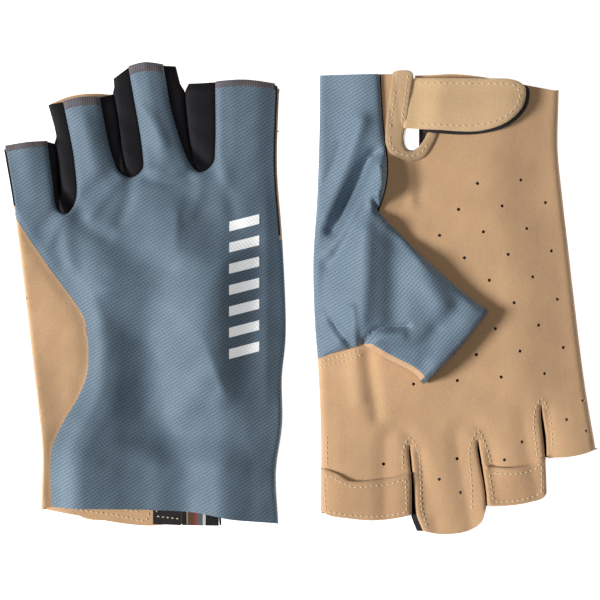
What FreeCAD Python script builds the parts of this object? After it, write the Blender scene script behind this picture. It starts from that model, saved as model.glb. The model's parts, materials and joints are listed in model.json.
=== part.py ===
import FreeCAD, Part
import math
import os

# A pair of short-finger sailing gloves that lie flat, side by side.
# The right glove lies on its back with the palm up and its fingers towards -Y.
# The left glove lies on its palm with the back up and its fingers towards +Y.
# Each glove is drawn in its own plan: u grows towards the thumb side and v towards
# the fingertips. A level is the distance from the outer face of the back towards
# the palm, so both gloves share every outline and every level.
# All lengths are millimetres.

Vector = FreeCAD.Vector

# ---- driving dimensions ------------------------------------------------------
GLOVE_PITCH = 115.0          # between the middles of the two gloves
FINGER_SHIFT = 1.1           # how far each glove's plan centre lies towards its fingers
BACK_THICKNESS = 1.0         # knit back
PALM_THICKNESS = 1.2         # suede palm
HAND_ROOM = 7.0              # free height between back and palm
WALL = 1.2                   # side walls of the hand
FOURCHETTE_WALL = 0.8        # stretch strips between the fingers
THUMB_SKIN = 0.9
THUMB_ROOM = 4.6
CLEARANCE = 0.3              # between pieces that move apart
PATCH = 0.8                  # facing, loop and hook pieces
STRAP_THICKNESS = 1.4
TAB_THICKNESS = 1.2
HEM_LENGTH = 3.0
THREAD_WIDTH = 0.5
THREAD_DEPTH = 0.3

FOLD = 30.5                  # v of the line across the finger bases
FOLD_GAP = 0.2               # each side of that line
FINGER_TILT = 6.2            # degrees that the left fingers sink towards the table
CUFF_SAG = 3.4               # how far the left cuff sinks towards the table
SAG_FROM, SAG_TO = -51.5, -38.0     # v where that sag ends and where it starts

FAR = 100.0                  # beyond every outline
SIDE = 60.0                  # just beyond either side of a glove

# ---- levels ------------------------------------------------------------------
BACK_INSIDE = BACK_THICKNESS
PALM_INSIDE = BACK_INSIDE + HAND_ROOM
PALM_OUTSIDE = PALM_INSIDE + PALM_THICKNESS
PATCH_TOP = PALM_OUTSIDE + PATCH
HOOK_LOW = PATCH_TOP + CLEARANCE
STRAP_LOW = HOOK_LOW + PATCH
STRAP_TOP = STRAP_LOW + STRAP_THICKNESS
TAB_TOP = PALM_OUTSIDE + TAB_THICKNESS
THUMB_LOW = PALM_OUTSIDE + CLEARANCE
THUMB_INSIDE_LOW = THUMB_LOW + THUMB_SKIN
THUMB_INSIDE_TOP = THUMB_INSIDE_LOW + THUMB_ROOM
THUMB_TOP = THUMB_INSIDE_TOP + THUMB_SKIN

# ---- outlines in the glove's plan, as (u, v) ---------------------------------
THUMB_SIDE = [(49.5, -84.6), (48.3, -65), (51, -47), (50.6, -30), (52.4, -14), (50.9, 22),
              (48.8, 48), (49.8, 79.4)]
LITTLE_SIDE = [(-52.4, 54.6), (-48.3, 30), (-44.4, -1), (-42, -22), (-39.8, -41),
               (-38.3, -57), (-38.7, -78.4)]
INDEX_END = [(49.8, 79.4), (15.3, 80.3)]
MIDDLE_THUMB_CORNER = [(14.8, 79.4), (12, 84.2), (6.5, 85.6)]
MIDDLE_LITTLE_CORNER = [(-3.5, 85.6), (-9, 83.4), (-11.4, 77.5)]
RING_END = [(-11.7, 75.3), (-33.7, 73.2)]
LITTLE_END = [(-33.4, 57.2), (-52.4, 54.6)]
PALM_CUFF = [(-38.7, -78.4), (28, -84.9), (49.5, -84.6)]
BACK_CUFF = [(-SIDE, -77.6), (-34.6, -77.9), (3, -78.8), (20, -80), (46.8, -83.6), (SIDE, -85.5)]
WRAP_EDGE = [(-48.3, 31), (-42.7, 21.5), (-33.7, 8.5), (-26.5, -1.1), (-22.4, -8.1),
             (-20.9, -18.9), (-21.6, -29.2), (-25.2, -37.9), (-30.2, -46.3),
             (-34.2, -55.5), (-35, -63), (-34.6, -80)]
STRIP_EDGE = [(27.9, -90), (26.8, -65.3), (25.3, -51.1), (26.1, -42.6), (28.7, -34)]
THUMB_BASE = [(28.7, -34), (34.6, 15.2)]
CROTCH_SEAM = [(34.6, 15.2), (38.7, 16.7), (47.2, 19.1), (SIDE, 22.5)]
CROTCH_V = 20.7              # where that seam meets the thumb side
THUMB_UPPER = [(28.7, -34), (19.1, -24.2), (8.3, -13.7), (-8.7, 0.4), (-12, 2.6)]
THUMB_END = [(-12, 2.6), (-0.9, 16.7), (11.7, 29.4)]
THUMB_LOWER = [(11.7, 29.4), (15.4, 25.9), (34.6, 15.2)]
THUMB_HOLE = [(26.6, -28), (32.4, 12), (21.5, 14), (15.5, -16)]
THUMB_HOLLOW = [(27.9, -31.4), (-30, 18), (2, 44), (12.6, 27.2), (34.4, 14), (40, 14), (40, -31.4)]
THUMB_INWARD = (0.78, -0.62)         # from the thumb's open end towards its base
THUMB_HEM_ZONE = (-FAR, 13.5, -1.5, FAR)
THUMB_PALM_U = 24.0          # where the thumb's suede stops under the cloth
SLIT = (15.0, 16.0)          # u of the wrist slit's two edges
SLIT_TOP = -62.0
KEYHOLE_CENTRE = (16.2, -60.5)
KEYHOLE_RADII = (4.1, 2.9)   # along v and along u
FACING = [(24.2, -84.8), (24.6, -58.1), (21.1, -54), (16.1, -52.5), (10, -54.5), (6.5, -62.9),
          (6.5, -82.6)]
STRAP_HINGE_U = 16.5
STRAP_ROOT = 0.6             # how far the strap reaches past its hinge line
STRAP_V = (-83.0, -64.0)     # the strap's two edges at its root
STRAP = [(-23.5, -83), (-26.3, -79.5), (-25.4, -72.5), (-19.8, -67.3), (-9.4, -64)]
HOOK = [(-23, -80.5), (-23, -72), (-17, -67.5), (-5, -66), (-5, -80.5)]
LOOP = [(-23, -78.5), (-23, -70), (5.5, -66), (5.5, -80.5)]
UNDERLAY = [(3, -82.6), (13.6, -83.6), (13.6, -68), (3, -68)]
LABEL = [(17.2, -83.7), (27.4, -84.7), (27.4, -72), (17.2, -72)]
INDEX_TAB = [(49.4, 61.6), (41, 65.2), (32, 66), (15.9, 63)]
RING_TAB = [(-11.9, 60.1), (-22, 61), (-33, 57.9)]

# Each gap between two fingers has two shapes: a wide one in the back, where the
# stretch strip shows, and a narrow slit in the palm. Each lists its thumb-side
# edge from tip to root, the root, and its little-finger side edge from root to tip.
GAPS = {
    "index_middle": {
        "back": [(26.1, 92), (26.1, 56), (25.3, 49.6), (20.9, 46.3), (17.2, 48.8),
                 (10.5, 66.6), (5.2, 92)],
        "palm": [(15.5, 92), (16.4, 66), (17.2, 54), (16.8, 52.6), (16.5, 54),
                 (15.6, 66), (14.8, 92)],
    },
    "middle_ring": {
        "back": [(-7.5, 92), (-0.6, 52), (-1, 47.4), (-5, 44.4), (-9.4, 46.3),
                 (-12, 51.1), (-21.5, 92)],
        "palm": [(-11.5, 92), (-10.7, 70), (-8.1, 52), (-8.5, 50.8), (-8.9, 52),
                 (-11.5, 70), (-14.3, 92)],
    },
    "ring_little": {
        "back": [(-34.1, 92), (-26.1, 48.8), (-25.6, 36), (-29, 32.2), (-32.2, 34),
                 (-36.4, 56), (-43, 92)],
        "palm": [(-34.6, 92), (-33, 57), (-31.7, 40), (-32, 38), (-32.5, 40),
                 (-33.8, 57), (-35.4, 92)],
    },
}
FINGERS = {"index": (15.5, 60.0, 79.4), "middle": (-9.0, 16.0, 85.6),
           "ring": (-31.0, -15.0, 74.2), "little": (-60.0, -35.0, 55.4)}


# ---- shapes shared by both gloves --------------------------------------------
def points(pairs, level=0.0):
    return [Vector(u, v, level) for u, v in pairs]


def run(pairs):
    """A line through two points, or one smooth curve through more."""
    if len(pairs) == 2:
        return Part.LineSegment(*points(pairs)).toShape()
    curve = Part.BSplineCurve()
    curve.interpolate(points(pairs))
    return curve.toShape()


def outline(*runs):
    """A flat face inside runs that follow each other and close."""
    edges = [run(pairs) for pairs in runs]
    return Part.Face(Part.Wire(edges))


def polygon(pairs):
    return Part.Face(Part.makePolygon(points(list(pairs) + [pairs[0]])))


def rectangle(u_low, u_high, v_low, v_high):
    return polygon([(u_low, v_low), (u_high, v_low), (u_high, v_high), (u_low, v_high)])


def straight_runs(pairs):
    return [[a, b] for a, b in zip(pairs, pairs[1:])]


def bounded(curves, *corners):
    """A flat face inside curves that follow each other, closed by straight runs."""
    return outline(*curves, *straight_runs([curves[-1][-1], *corners, curves[0][0]]))


def sagging_slab(low, high, sags):
    """Everything between two levels, with the cuff sunk where the glove is draped."""
    sag = CUFF_SAG if sags else 0.0
    profile = [(-FAR, sag), (SAG_FROM, sag), (SAG_TO, 0.0), (FAR, 0.0)]
    lower = [Vector(-FAR, v, low + drop) for v, drop in profile]
    upper = [Vector(-FAR, v, high + drop) for v, drop in reversed(profile)]
    face = Part.Face(Part.makePolygon(lower + upper + lower[:1]))
    return face.extrude(Vector(2 * FAR, 0, 0))


def layer(face, low, high, sags=False):
    """The part of a flat face's prism between two levels."""
    if not sags:
        base = face.copy()
        base.translate(Vector(0, 0, low))
        return base.extrude(Vector(0, 0, high - low))
    prism = face.copy()
    prism.translate(Vector(0, 0, -FAR / 4))
    prism = prism.extrude(Vector(0, 0, FAR))
    return prism.common(sagging_slab(low, high, sags))


def joined(*shapes):
    """One clean solid, or a group of them, from pieces that touch."""
    solids = [solid for shape in shapes for solid in shape.Solids]
    if len(solids) == 1:
        return solids[0]
    return solids[0].fuse(solids[1:]).removeSplitter()


def thread_line(pairs):
    """A narrow flat strip that follows a row of stitches."""
    strips = [strip_along(a, b) for a, b in zip(pairs, pairs[1:])]
    return strips[0].fuse(strips[1:]).removeSplitter() if len(strips) > 1 else strips[0]


def strip_along(a, b):
    (u0, v0), (u1, v1) = a, b
    length = math.hypot(u1 - u0, v1 - v0)
    half_u = (u1 - u0) / length * THREAD_WIDTH / 2
    half_v = (v1 - v0) / length * THREAD_WIDTH / 2
    start = (u0 - half_u, v0 - half_v)
    end = (u1 + half_u, v1 + half_v)
    return polygon([(start[0] - half_v, start[1] + half_u), (end[0] - half_v, end[1] + half_u),
                    (end[0] + half_v, end[1] - half_u), (start[0] + half_v, start[1] - half_u)])


# ---- plan faces --------------------------------------------------------------
silhouette = outline(THUMB_SIDE, INDEX_END, [INDEX_END[-1], MIDDLE_THUMB_CORNER[0]],
                     MIDDLE_THUMB_CORNER, [MIDDLE_THUMB_CORNER[-1], MIDDLE_LITTLE_CORNER[0]],
                     MIDDLE_LITTLE_CORNER, [MIDDLE_LITTLE_CORNER[-1], RING_END[0]],
                     *straight_runs(RING_END + LITTLE_END), LITTLE_SIDE,
                     *straight_runs(PALM_CUFF))


def moved_across(pairs, du):
    return [(u + du, v) for u, v in pairs]


thumb_inner = moved_across(THUMB_SIDE, -WALL)
little_inner = moved_across(LITTLE_SIDE, WALL)
between_walls = outline(
    thumb_inner,
    *straight_runs([thumb_inner[-1], (thumb_inner[-1][0], FAR), (little_inner[0][0], FAR),
                    little_inner[0]]),
    little_inner,
    *straight_runs([little_inner[-1], (little_inner[-1][0], -FAR), (thumb_inner[0][0], -FAR),
                    thumb_inner[0]]))
hand_region = rectangle(-FAR, FAR, -FAR, FOLD - FOLD_GAP)
finger_region = rectangle(-FAR, FAR, FOLD + FOLD_GAP, FAR)
thumb_half = rectangle(0, FAR, -FAR, FAR)
above_crotch_seam = rectangle(0, FAR, CROTCH_V, FAR)
walls = silhouette.cut(between_walls)
keyhole = Part.Face(Part.Wire(Part.Ellipse(
    Vector(*KEYHOLE_CENTRE, 0), *KEYHOLE_RADII).toShape()))
keyhole.rotate(Vector(*KEYHOLE_CENTRE, 0), Vector(0, 0, 1), 90)
slit = rectangle(*SLIT, -FAR, SLIT_TOP).fuse(keyhole).removeSplitter()
wrap = bounded([WRAP_EDGE], (-SIDE, WRAP_EDGE[-1][1]), (-SIDE, WRAP_EDGE[0][1]))
thumb_strip = bounded([STRIP_EDGE, THUMB_BASE, CROTCH_SEAM], (SIDE, STRIP_EDGE[0][1]))
above_back_cuff = bounded([BACK_CUFF], (SIDE, FAR), (-SIDE, FAR))
thumb_plan = bounded([THUMB_UPPER, THUMB_END, THUMB_LOWER])


def gap_body(name, thickness):
    """The air between two fingers, or that air with a wall of the given thickness round it."""
    grown = [+1, +1, +1, 0, -1, -1, -1]
    wires = []
    for side, level in (("back", BACK_INSIDE), ("palm", PALM_INSIDE)):
        pairs = [(u + grow * thickness, v - (1 - abs(grow)) * thickness)
                 for (u, v), grow in zip(GAPS[name][side], grown)]
        wires.append(Part.makePolygon(points(pairs + pairs[:1], level)))
    return Part.makeLoft(wires, True, True)


def hem_region(name):
    u_low, u_high, end = FINGERS[name]
    return rectangle(u_low, u_high, end - HEM_LENGTH, end + HEM_LENGTH)


# ---- pieces of the hand ------------------------------------------------------
def back_panel(sags):
    sheet = silhouette.common(hand_region).common(above_back_cuff).cut(wrap)
    wall = walls.common(thumb_half).common(hand_region).common(above_back_cuff)
    strip = silhouette.common(thumb_strip)
    return joined(layer(sheet, 0, BACK_INSIDE, sags),
                  layer(wall.cut(above_crotch_seam), BACK_INSIDE, PALM_INSIDE, sags),
                  layer(strip, PALM_INSIDE, PALM_OUTSIDE, sags))


def palm_panel(sags):
    sheet = silhouette.common(hand_region).cut(thumb_strip).cut(slit).cut(polygon(THUMB_HOLE))
    wrapped = silhouette.common(wrap).common(hand_region).common(above_back_cuff)
    little_wall = walls.cut(thumb_half).common(hand_region)
    index_wall = walls.common(above_crotch_seam).common(hand_region)
    return joined(layer(sheet, PALM_INSIDE, PALM_OUTSIDE, sags),
                  layer(little_wall, BACK_INSIDE, PALM_INSIDE, sags),
                  layer(index_wall, BACK_INSIDE, PALM_INSIDE, sags),
                  layer(wrapped, 0, BACK_INSIDE, sags))


def slit_facing(sags):
    arch = outline(FACING[:2], FACING[1:6], FACING[5:], [FACING[-1], FACING[0]])
    return layer(arch.cut(slit), PALM_OUTSIDE, PATCH_TOP, sags)


def loop_patch(sags):
    return layer(polygon(LOOP), PALM_OUTSIDE, PATCH_TOP, sags)


def slit_underlay(sags):
    return layer(polygon(UNDERLAY), PALM_INSIDE - PATCH, PALM_INSIDE, sags)


def size_label(sags):
    return layer(polygon(LABEL), PALM_INSIDE - PATCH, PALM_INSIDE, sags)


FACING_ROWS = [[(17.6, -83.4), (17.6, -66)], [(22.6, -83.4), (22.6, -60)]]
CROTCH_ROWS = [[(34.9, 17.2), (38.3, 18.5), (47, 20.9)], [(34.2, 19), (37.9, 20.4), (46.6, 22.8)]]
SLIT_ROWS = [[(19.4, 76), (19.4, 54), (16.8, 49.6), (13.6, 54), (12.6, 76)],
             [(-6.1, 74), (-5.7, 52), (-8.5, 47.4), (-11.4, 52), (-14.6, 57)],
             [(-30, 56), (-29.2, 40), (-32, 35.2), (-34.9, 40), (-36.2, 54)]]
TAB_ROWS = [[(47.6, 77.2), (47.6, 64.4), (41, 67.6), (32, 68.3), (17.8, 65.4), (17.8, 77.8)],
            [(-13.8, 73), (-13.8, 62.4), (-22, 63.1), (-31.2, 60.6), (-31.6, 71.4)]]
STRAP_ROW = [(13.5, -80.8), (-22, -80.8), (-23.9, -78.6), (-23.3, -73.6), (-18.8, -69.4),
             (-8.9, -66.3), (13.5, -66.3)]


def threads(rows, top, sags):
    """Rows of stitching that lie flush in the surface at a level."""
    sewn = [layer(thread_line(row), top - THREAD_DEPTH, top, sags) for row in rows]
    return Part.makeCompound([solid for shape in sewn for solid in shape.Solids])


# ---- pieces of the fingers ---------------------------------------------------
def finger_backs():
    sheet = silhouette.common(finger_region)
    for name in GAPS:
        sheet = sheet.cut(polygon(GAPS[name]["back"]))
    for name in FINGERS:
        sheet = sheet.cut(hem_region(name))
    return layer(sheet, 0, BACK_INSIDE)


def finger_hem(name):
    sheet = silhouette.common(hem_region(name))
    for gap in GAPS.values():
        sheet = sheet.cut(polygon(gap["back"]))
    return layer(sheet, 0, BACK_INSIDE)


def finger_palms():
    sheet = silhouette.common(finger_region)
    for gap in GAPS.values():
        sheet = sheet.cut(polygon(gap["palm"]))
    outer_walls = walls.common(finger_region)
    return joined(layer(sheet, PALM_INSIDE, PALM_OUTSIDE),
                  layer(outer_walls, BACK_INSIDE, PALM_INSIDE))


def fourchette(name):
    wall = gap_body(name, FOURCHETTE_WALL).cut(gap_body(name, 0))
    return wall.common(layer(silhouette, BACK_INSIDE, PALM_INSIDE))


def pull_tab(free_edge):
    """A doubled layer from a free edge, given from its thumb side, down to the fingertip."""
    u_high, u_low = free_edge[0][0], free_edge[-1][0]
    below = polygon(free_edge + [(u_low - 1, FAR), (u_high + 1, FAR)])
    return layer(silhouette.common(below).common(rectangle(u_low, u_high, 0, FAR)),
                 PALM_OUTSIDE, TAB_TOP)


# ---- pieces of the thumb and the strap ---------------------------------------
def thumb_hem_plan():
    inner = thumb_plan.copy()
    inner.translate(Vector(*THUMB_INWARD, 0) * HEM_LENGTH)
    return thumb_plan.cut(inner).common(rectangle(*THUMB_HEM_ZONE))


def thumb_back():
    edge = thumb_plan.cut(polygon(THUMB_HOLLOW))
    cover = thumb_plan.cut(thumb_hem_plan())
    return joined(layer(cover, THUMB_INSIDE_TOP, THUMB_TOP),
                  layer(edge, THUMB_INSIDE_LOW, THUMB_INSIDE_TOP))


def thumb_hem():
    return layer(thumb_hem_plan(), THUMB_INSIDE_TOP, THUMB_TOP)


def thumb_palm():
    hidden = rectangle(THUMB_PALM_U, FAR, -FAR, FAR)
    return layer(thumb_plan.cut(polygon(THUMB_HOLE)).cut(hidden), THUMB_LOW, THUMB_INSIDE_LOW)


def strap_plan():
    root = STRAP_HINGE_U + STRAP_ROOT
    return bounded([STRAP[:3], STRAP[2:]], (root, STRAP_V[1]), (root, STRAP_V[0]))


# ---- placing -----------------------------------------------------------------
def tilted(shape):
    """The left fingers sink towards the table from the outer face of the palm."""
    shape = shape.copy()
    shape.rotate(Vector(0, FOLD, PALM_OUTSIDE), Vector(1, 0, 0), FINGER_TILT)
    return shape


def on_table(shape, is_left):
    """Lays a glove's piece in its place."""
    if is_left:
        placed = shape.mirror(Vector(0, 0, 0), Vector(0, 0, 1))
        placed.translate(Vector(-GLOVE_PITCH / 2, FINGER_SHIFT, THUMB_TOP))
        return placed
    placed = shape.copy()
    placed.rotate(Vector(0, 0, 0), Vector(0, 0, 1), 180)
    placed.translate(Vector(GLOVE_PITCH / 2, -FINGER_SHIFT, 0))
    return placed


def hand_pieces(sags):
    facing_threads = threads(FACING_ROWS, PATCH_TOP, sags)
    crotch_threads = threads(CROTCH_ROWS, PALM_OUTSIDE, sags)
    return {
        "back_panel": back_panel(sags),
        "palm_panel": palm_panel(sags).cut(crotch_threads),
        "slit_facing": slit_facing(sags).cut(facing_threads),
        "loop_patch": loop_patch(sags),
        "slit_underlay": slit_underlay(sags),
        "size_label": size_label(sags),
        "facing_stitching": facing_threads,
        "crotch_stitching": crotch_threads,
    }


def finger_pieces():
    slit_threads = threads(SLIT_ROWS, PALM_OUTSIDE, False)
    tab_threads = threads(TAB_ROWS, TAB_TOP, False)
    tabs = {"index_pull_tab": pull_tab(INDEX_TAB), "ring_pull_tab": pull_tab(RING_TAB)}
    for name, tab in tabs.items():
        slit_threads = slit_threads.cut(tab)
        tabs[name] = tab.cut(tab_threads)
    pieces = {"finger_backs": finger_backs(), "finger_palms": finger_palms().cut(slit_threads)}
    for name in GAPS:
        pieces[name + "_fourchette"] = fourchette(name)
    for name in FINGERS:
        pieces[name + "_hem"] = finger_hem(name)
    pieces.update(tabs)
    pieces["slit_stitching"] = slit_threads
    pieces["tab_stitching"] = tab_threads
    return pieces


def thumb_pieces():
    return {"thumb_back": thumb_back(), "thumb_palm": thumb_palm(), "thumb_hem": thumb_hem()}


def strap_pieces(sags):
    strap_threads = threads([STRAP_ROW], STRAP_TOP, sags)
    return {
        "wrist_strap": layer(strap_plan(), STRAP_LOW, STRAP_TOP, sags).cut(strap_threads),
        "hook_patch": layer(polygon(HOOK), HOOK_LOW, STRAP_LOW, sags),
        "strap_stitching": strap_threads,
    }


os.makedirs("parts", exist_ok=True)
for side in ("right", "left"):
    is_left = side == "left"
    pieces = hand_pieces(is_left)
    for name, piece in finger_pieces().items():
        pieces[name] = tilted(piece) if is_left else piece
    pieces.update(thumb_pieces())
    pieces.update(strap_pieces(is_left))
    for name, piece in pieces.items():
        on_table(piece, is_left).exportStep("parts/" + side + "_" + name + ".step")
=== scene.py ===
import json
import math

import bmesh
import bpy
import numpy as np
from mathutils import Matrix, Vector
from mathutils.geometry import delaunay_2d_cdt


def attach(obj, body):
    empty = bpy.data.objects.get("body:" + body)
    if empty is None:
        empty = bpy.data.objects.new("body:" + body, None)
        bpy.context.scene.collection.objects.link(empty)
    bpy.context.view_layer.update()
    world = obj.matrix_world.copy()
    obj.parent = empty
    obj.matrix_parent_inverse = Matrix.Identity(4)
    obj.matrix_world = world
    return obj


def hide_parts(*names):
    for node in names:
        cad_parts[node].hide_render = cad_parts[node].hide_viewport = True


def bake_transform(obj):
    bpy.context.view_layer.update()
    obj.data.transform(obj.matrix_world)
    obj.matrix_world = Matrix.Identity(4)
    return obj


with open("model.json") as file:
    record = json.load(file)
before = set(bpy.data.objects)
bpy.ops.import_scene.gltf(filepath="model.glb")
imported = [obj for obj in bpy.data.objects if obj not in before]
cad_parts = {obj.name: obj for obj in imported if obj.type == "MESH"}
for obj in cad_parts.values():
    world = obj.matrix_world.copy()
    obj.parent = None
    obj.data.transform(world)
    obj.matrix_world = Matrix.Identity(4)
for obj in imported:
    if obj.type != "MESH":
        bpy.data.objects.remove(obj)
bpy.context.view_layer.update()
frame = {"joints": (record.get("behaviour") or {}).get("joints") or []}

# Each glove is drawn in its own plan, in millimetres: u grows towards the thumb side
# and v towards the fingertips. The left glove's plan is laid on the table as it is,
# and the right glove's is turned half round, so most outlines serve both.
MM = 0.001
UV_SCALE = 100               # millimetres of the plan in one unit of a UV map
FOLD_V = 30.5                # the line across the finger bases
STRAP_HINGE_U = 16.5

# ---- outlines in plan ----------------------------------------------------------
LEFT_THUMB_SIDE = [(49.5, -84.6), (48.6, -65), (50.9, -47), (50.8, -30), (52.2, -14), (50.9, 22),
                   (49, 48), (49.8, 79.2)]
RIGHT_THUMB_SIDE = [(50.1, -84.6), (50.3, -64), (51.2, -38), (52.6, -16), (52, 8), (50.9, 22),
                    (49.8, 48), (49.9, 79.2)]
LITTLE_SIDE = [(-52.4, 54.6), (-48.3, 30), (-44.4, -1), (-42, -22), (-39.8, -41),
               (-38.3, -57), (-38.7, -78.4)]
WRAP_EDGE = [(-48.3, 30), (-42.7, 21.5), (-33.7, 8.5), (-26.5, -1.1), (-22.4, -8.1),
             (-20.9, -18.9), (-21.6, -29.2), (-25.2, -37.9), (-30.2, -46.3),
             (-34.2, -55.5), (-35, -63), (-34.6, -77.9)]
BACK_CUFF = [(-34.6, -77.9), (3, -78.8), (20, -80), (33, -82.4), (46.8, -83.8), (49.4, -84)]
PALM_CUFF = [(-38.7, -78.6), (-23.9, -81.2), (-8, -84), (1.6, -84.8), (8, -84.4), (14.9, -84.2)]
FACING_CUFF = {"left": [(16.1, -83.4), (27.6, -82)], "right": [(16.1, -84.9), (28, -84.7)]}
STRIP_CUFF = {"left": [(27.8, -81.4), (47.6, -83.4)], "right": [(28, -84.7), (49.5, -84.6)]}
# The lowest v of the facing, of its stitches, and of the tape and label inside the cuff.
FACING_LOW = {"left": -83.6, "right": -86}
FACING_ROWS_LOW = {"left": -82.6, "right": -90}
INNER_LOW = {"left": -84.2, "right": -82.8}
STRIP_EDGE = [(28, -84.7), (26.8, -65.3), (25.3, -51.1), (26.1, -42.6), (28.7, -34)]
THUMB_BASE = [(28.7, -34), (34.6, 15.2)]
CROTCH_SEAM = [(34.6, 15.2), (38.7, 16.7), (47.2, 19.1), (51, 20.9)]
THUMB_UPPER = [(28.7, -34), (19.1, -24.2), (8.3, -13.7), (-8.7, 0.4), (-12, 2.6)]
THUMB_END = [(-12, 2.6), (-0.9, 16.4), (12, 29.8)]
THUMB_LOWER = [(12, 29.8), (15.4, 25.9), (25, 20.8), (34.6, 15.2)]
THUMB_VALLEY = [(24, -58), (32, -51), (41.3, -38), (46.1, -27), (49, -14)]

# Gaps between fingers, from the tip down one side to the root and up the other side:
# wide ones in the knit back, and narrow slits in the suede palm.
BACK_GAPS = [
    [(26.1, 79.6), (26.1, 56), (25.3, 49.6), (20.9, 46.3), (17.2, 48.8), (10.5, 66.6), (6.8, 85.8)],
    [(-6.1, 85.2), (-0.8, 53), (-0.9, 47.4), (-5, 44.4), (-9.4, 46.3), (-12.4, 53), (-16.8, 73.9)],
    [(-30.3, 72.3), (-26.1, 50), (-25.6, 36), (-29, 30.7), (-32.4, 32.5), (-34.4, 44), (-36.2, 57.6)],
]
RIGHT_SLITS = [
    [(16.1, 78.5), (16.2, 66), (17.1, 55), (16.8, 52.6), (16.5, 55), (15.2, 68), (14.4, 78), (11.9, 84.6)],
    [(-11.3, 76.6), (-10.9, 70), (-8.2, 53), (-8.5, 50.9), (-8.9, 53), (-11.5, 70), (-11.9, 75.2)],
    [(-33.9, 70.3), (-33.3, 57), (-31.7, 41), (-31.9, 38), (-32.3, 41), (-33.7, 50), (-33.9, 57.3)],
]
LEFT_SLITS = [
    [(16.2, 79.2), (15.2, 70.6), (16.7, 55), (16.6, 52.6), (16.4, 55), (14.9, 70.6), (11.4, 85.6)],
    [(-11.8, 81), (-10.9, 72.4), (-8.4, 53), (-8.5, 50.9), (-8.7, 53), (-11.2, 72), (-12.6, 75.2)],
    [(-36, 71.4), (-33, 59.5), (-31.9, 41), (-31.9, 38), (-32.2, 41), (-33.1, 53.5), (-34.6, 56.8)],
]
# Finger ends from the index finger to the little one, each from its thumb side.
BACK_ENDS = [
    [(48.1, 79), (37, 80.2), (26.1, 79.6)],
    [(6.8, 85.8), (0, 86.5), (-6.1, 85.2)],
    [(-16.8, 73.9), (-24, 73.6), (-30.3, 72.3)],
    [(-36.2, 57.6), (-44, 57), (-51.7, 55.8)],
]
RIGHT_ENDS = [
    [(49.9, 74), (49.4, 77), (47.3, 78.6), (39.4, 79.9), (31.3, 80.6), (22.8, 79.9), (16.1, 78.5)],
    [(11.9, 84.6), (4.3, 85.7), (-5, 84.4), (-9.6, 81.2), (-11.3, 76.6)],
    [(-11.9, 75.2), (-20.5, 75), (-27, 74), (-32.6, 72.2), (-33.9, 70.3)],
    [(-33.9, 57.3), (-43, 56.9), (-49.5, 55.4), (-52.4, 54)],
]
LEFT_ENDS = [
    [(49.9, 76.5), (47.5, 78.8), (37, 80.2), (26, 79.8), (16.2, 79.2)],
    [(11.4, 85.6), (4.3, 86), (-5, 85), (-11.8, 81)],
    [(-12.6, 75.2), (-20.5, 75.6), (-28, 74.6), (-36, 71.4)],
    [(-34.6, 56.8), (-43, 57.2), (-49.5, 56.4), (-52.4, 54.6)],
]

STRAP_EDGE = [(19.4, -64.6), (8, -64), (-9.4, -63.6), (-19.8, -67.3), (-25.2, -73.6), (-25.6, -80),
              (-22, -82.4), (-6, -83), (17.4, -83.2)]


# ---- plan geometry -------------------------------------------------------------
def smooth(points, step=0.9):
    """A curve through the points (centripetal Catmull-Rom), sampled about every step."""
    p = np.array(points, float)
    if len(p) == 2:
        return straight(points, step)
    p = np.vstack([2 * p[0] - p[1], p, 2 * p[-1] - p[-2]])
    out = []
    for a, b, c, d in zip(p, p[1:], p[2:], p[3:]):
        t0 = 0.0
        t1 = t0 + max(np.linalg.norm(b - a), 1e-6) ** 0.5
        t2 = t1 + max(np.linalg.norm(c - b), 1e-6) ** 0.5
        t3 = t2 + max(np.linalg.norm(d - c), 1e-6) ** 0.5
        count = max(2, int(round(np.linalg.norm(c - b) / step)))
        for t in np.linspace(t1, t2, count, endpoint=False):
            ab = (t1 - t) / (t1 - t0) * a + (t - t0) / (t1 - t0) * b
            bc = (t2 - t) / (t2 - t1) * b + (t - t1) / (t2 - t1) * c
            cd = (t3 - t) / (t3 - t2) * c + (t - t2) / (t3 - t2) * d
            abc = (t2 - t) / (t2 - t0) * ab + (t - t0) / (t2 - t0) * bc
            bcd = (t3 - t) / (t3 - t1) * bc + (t - t1) / (t3 - t1) * cd
            out.append((t2 - t) / (t2 - t1) * abc + (t - t1) / (t2 - t1) * bcd)
    out.append(p[-2])
    return np.array(out)


def straight(points, step=0.9):
    """Straight lines through the points, sampled about every step."""
    p = np.array(points, float)
    out = []
    for a, b in zip(p, p[1:]):
        count = max(1, int(round(np.linalg.norm(b - a) / step)))
        out.extend(a + (b - a) * t for t in np.linspace(0, 1, count, endpoint=False))
    out.append(p[-1])
    return np.array(out)


def curves(rows):
    """A curve through each row of points."""
    return [smooth(row, 0.8) for row in rows]


def closed(ring):
    """The ring with its first point once more at its end."""
    return np.vstack([ring, ring[:1]])


def loop(*runs):
    """One closed ring of points from runs that follow each other."""
    ring = np.vstack([np.asarray(r) for r in runs])
    keep = [ring[0]]
    for q in ring[1:]:
        if np.linalg.norm(q - keep[-1]) > 0.12:
            keep.append(q)
    while np.linalg.norm(keep[0] - keep[-1]) < 0.12:
        keep.pop()
    return np.array(keep)


def distance(points, line):
    """How far each point is from a line of points."""
    p = np.asarray(points, float)
    line = np.asarray(line, float)
    a, b = line[:-1], line[1:]
    d = b - a
    size = np.maximum((d * d).sum(1), 1e-12)
    best = np.full(len(p), 1e9)
    for k in range(len(a)):
        t = np.clip(((p - a[k]) @ d[k]) / size[k], 0, 1)
        off = p - a[k] - t[:, None] * d[k]
        best = np.minimum(best, np.hypot(off[:, 0], off[:, 1]))
    return best


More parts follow.
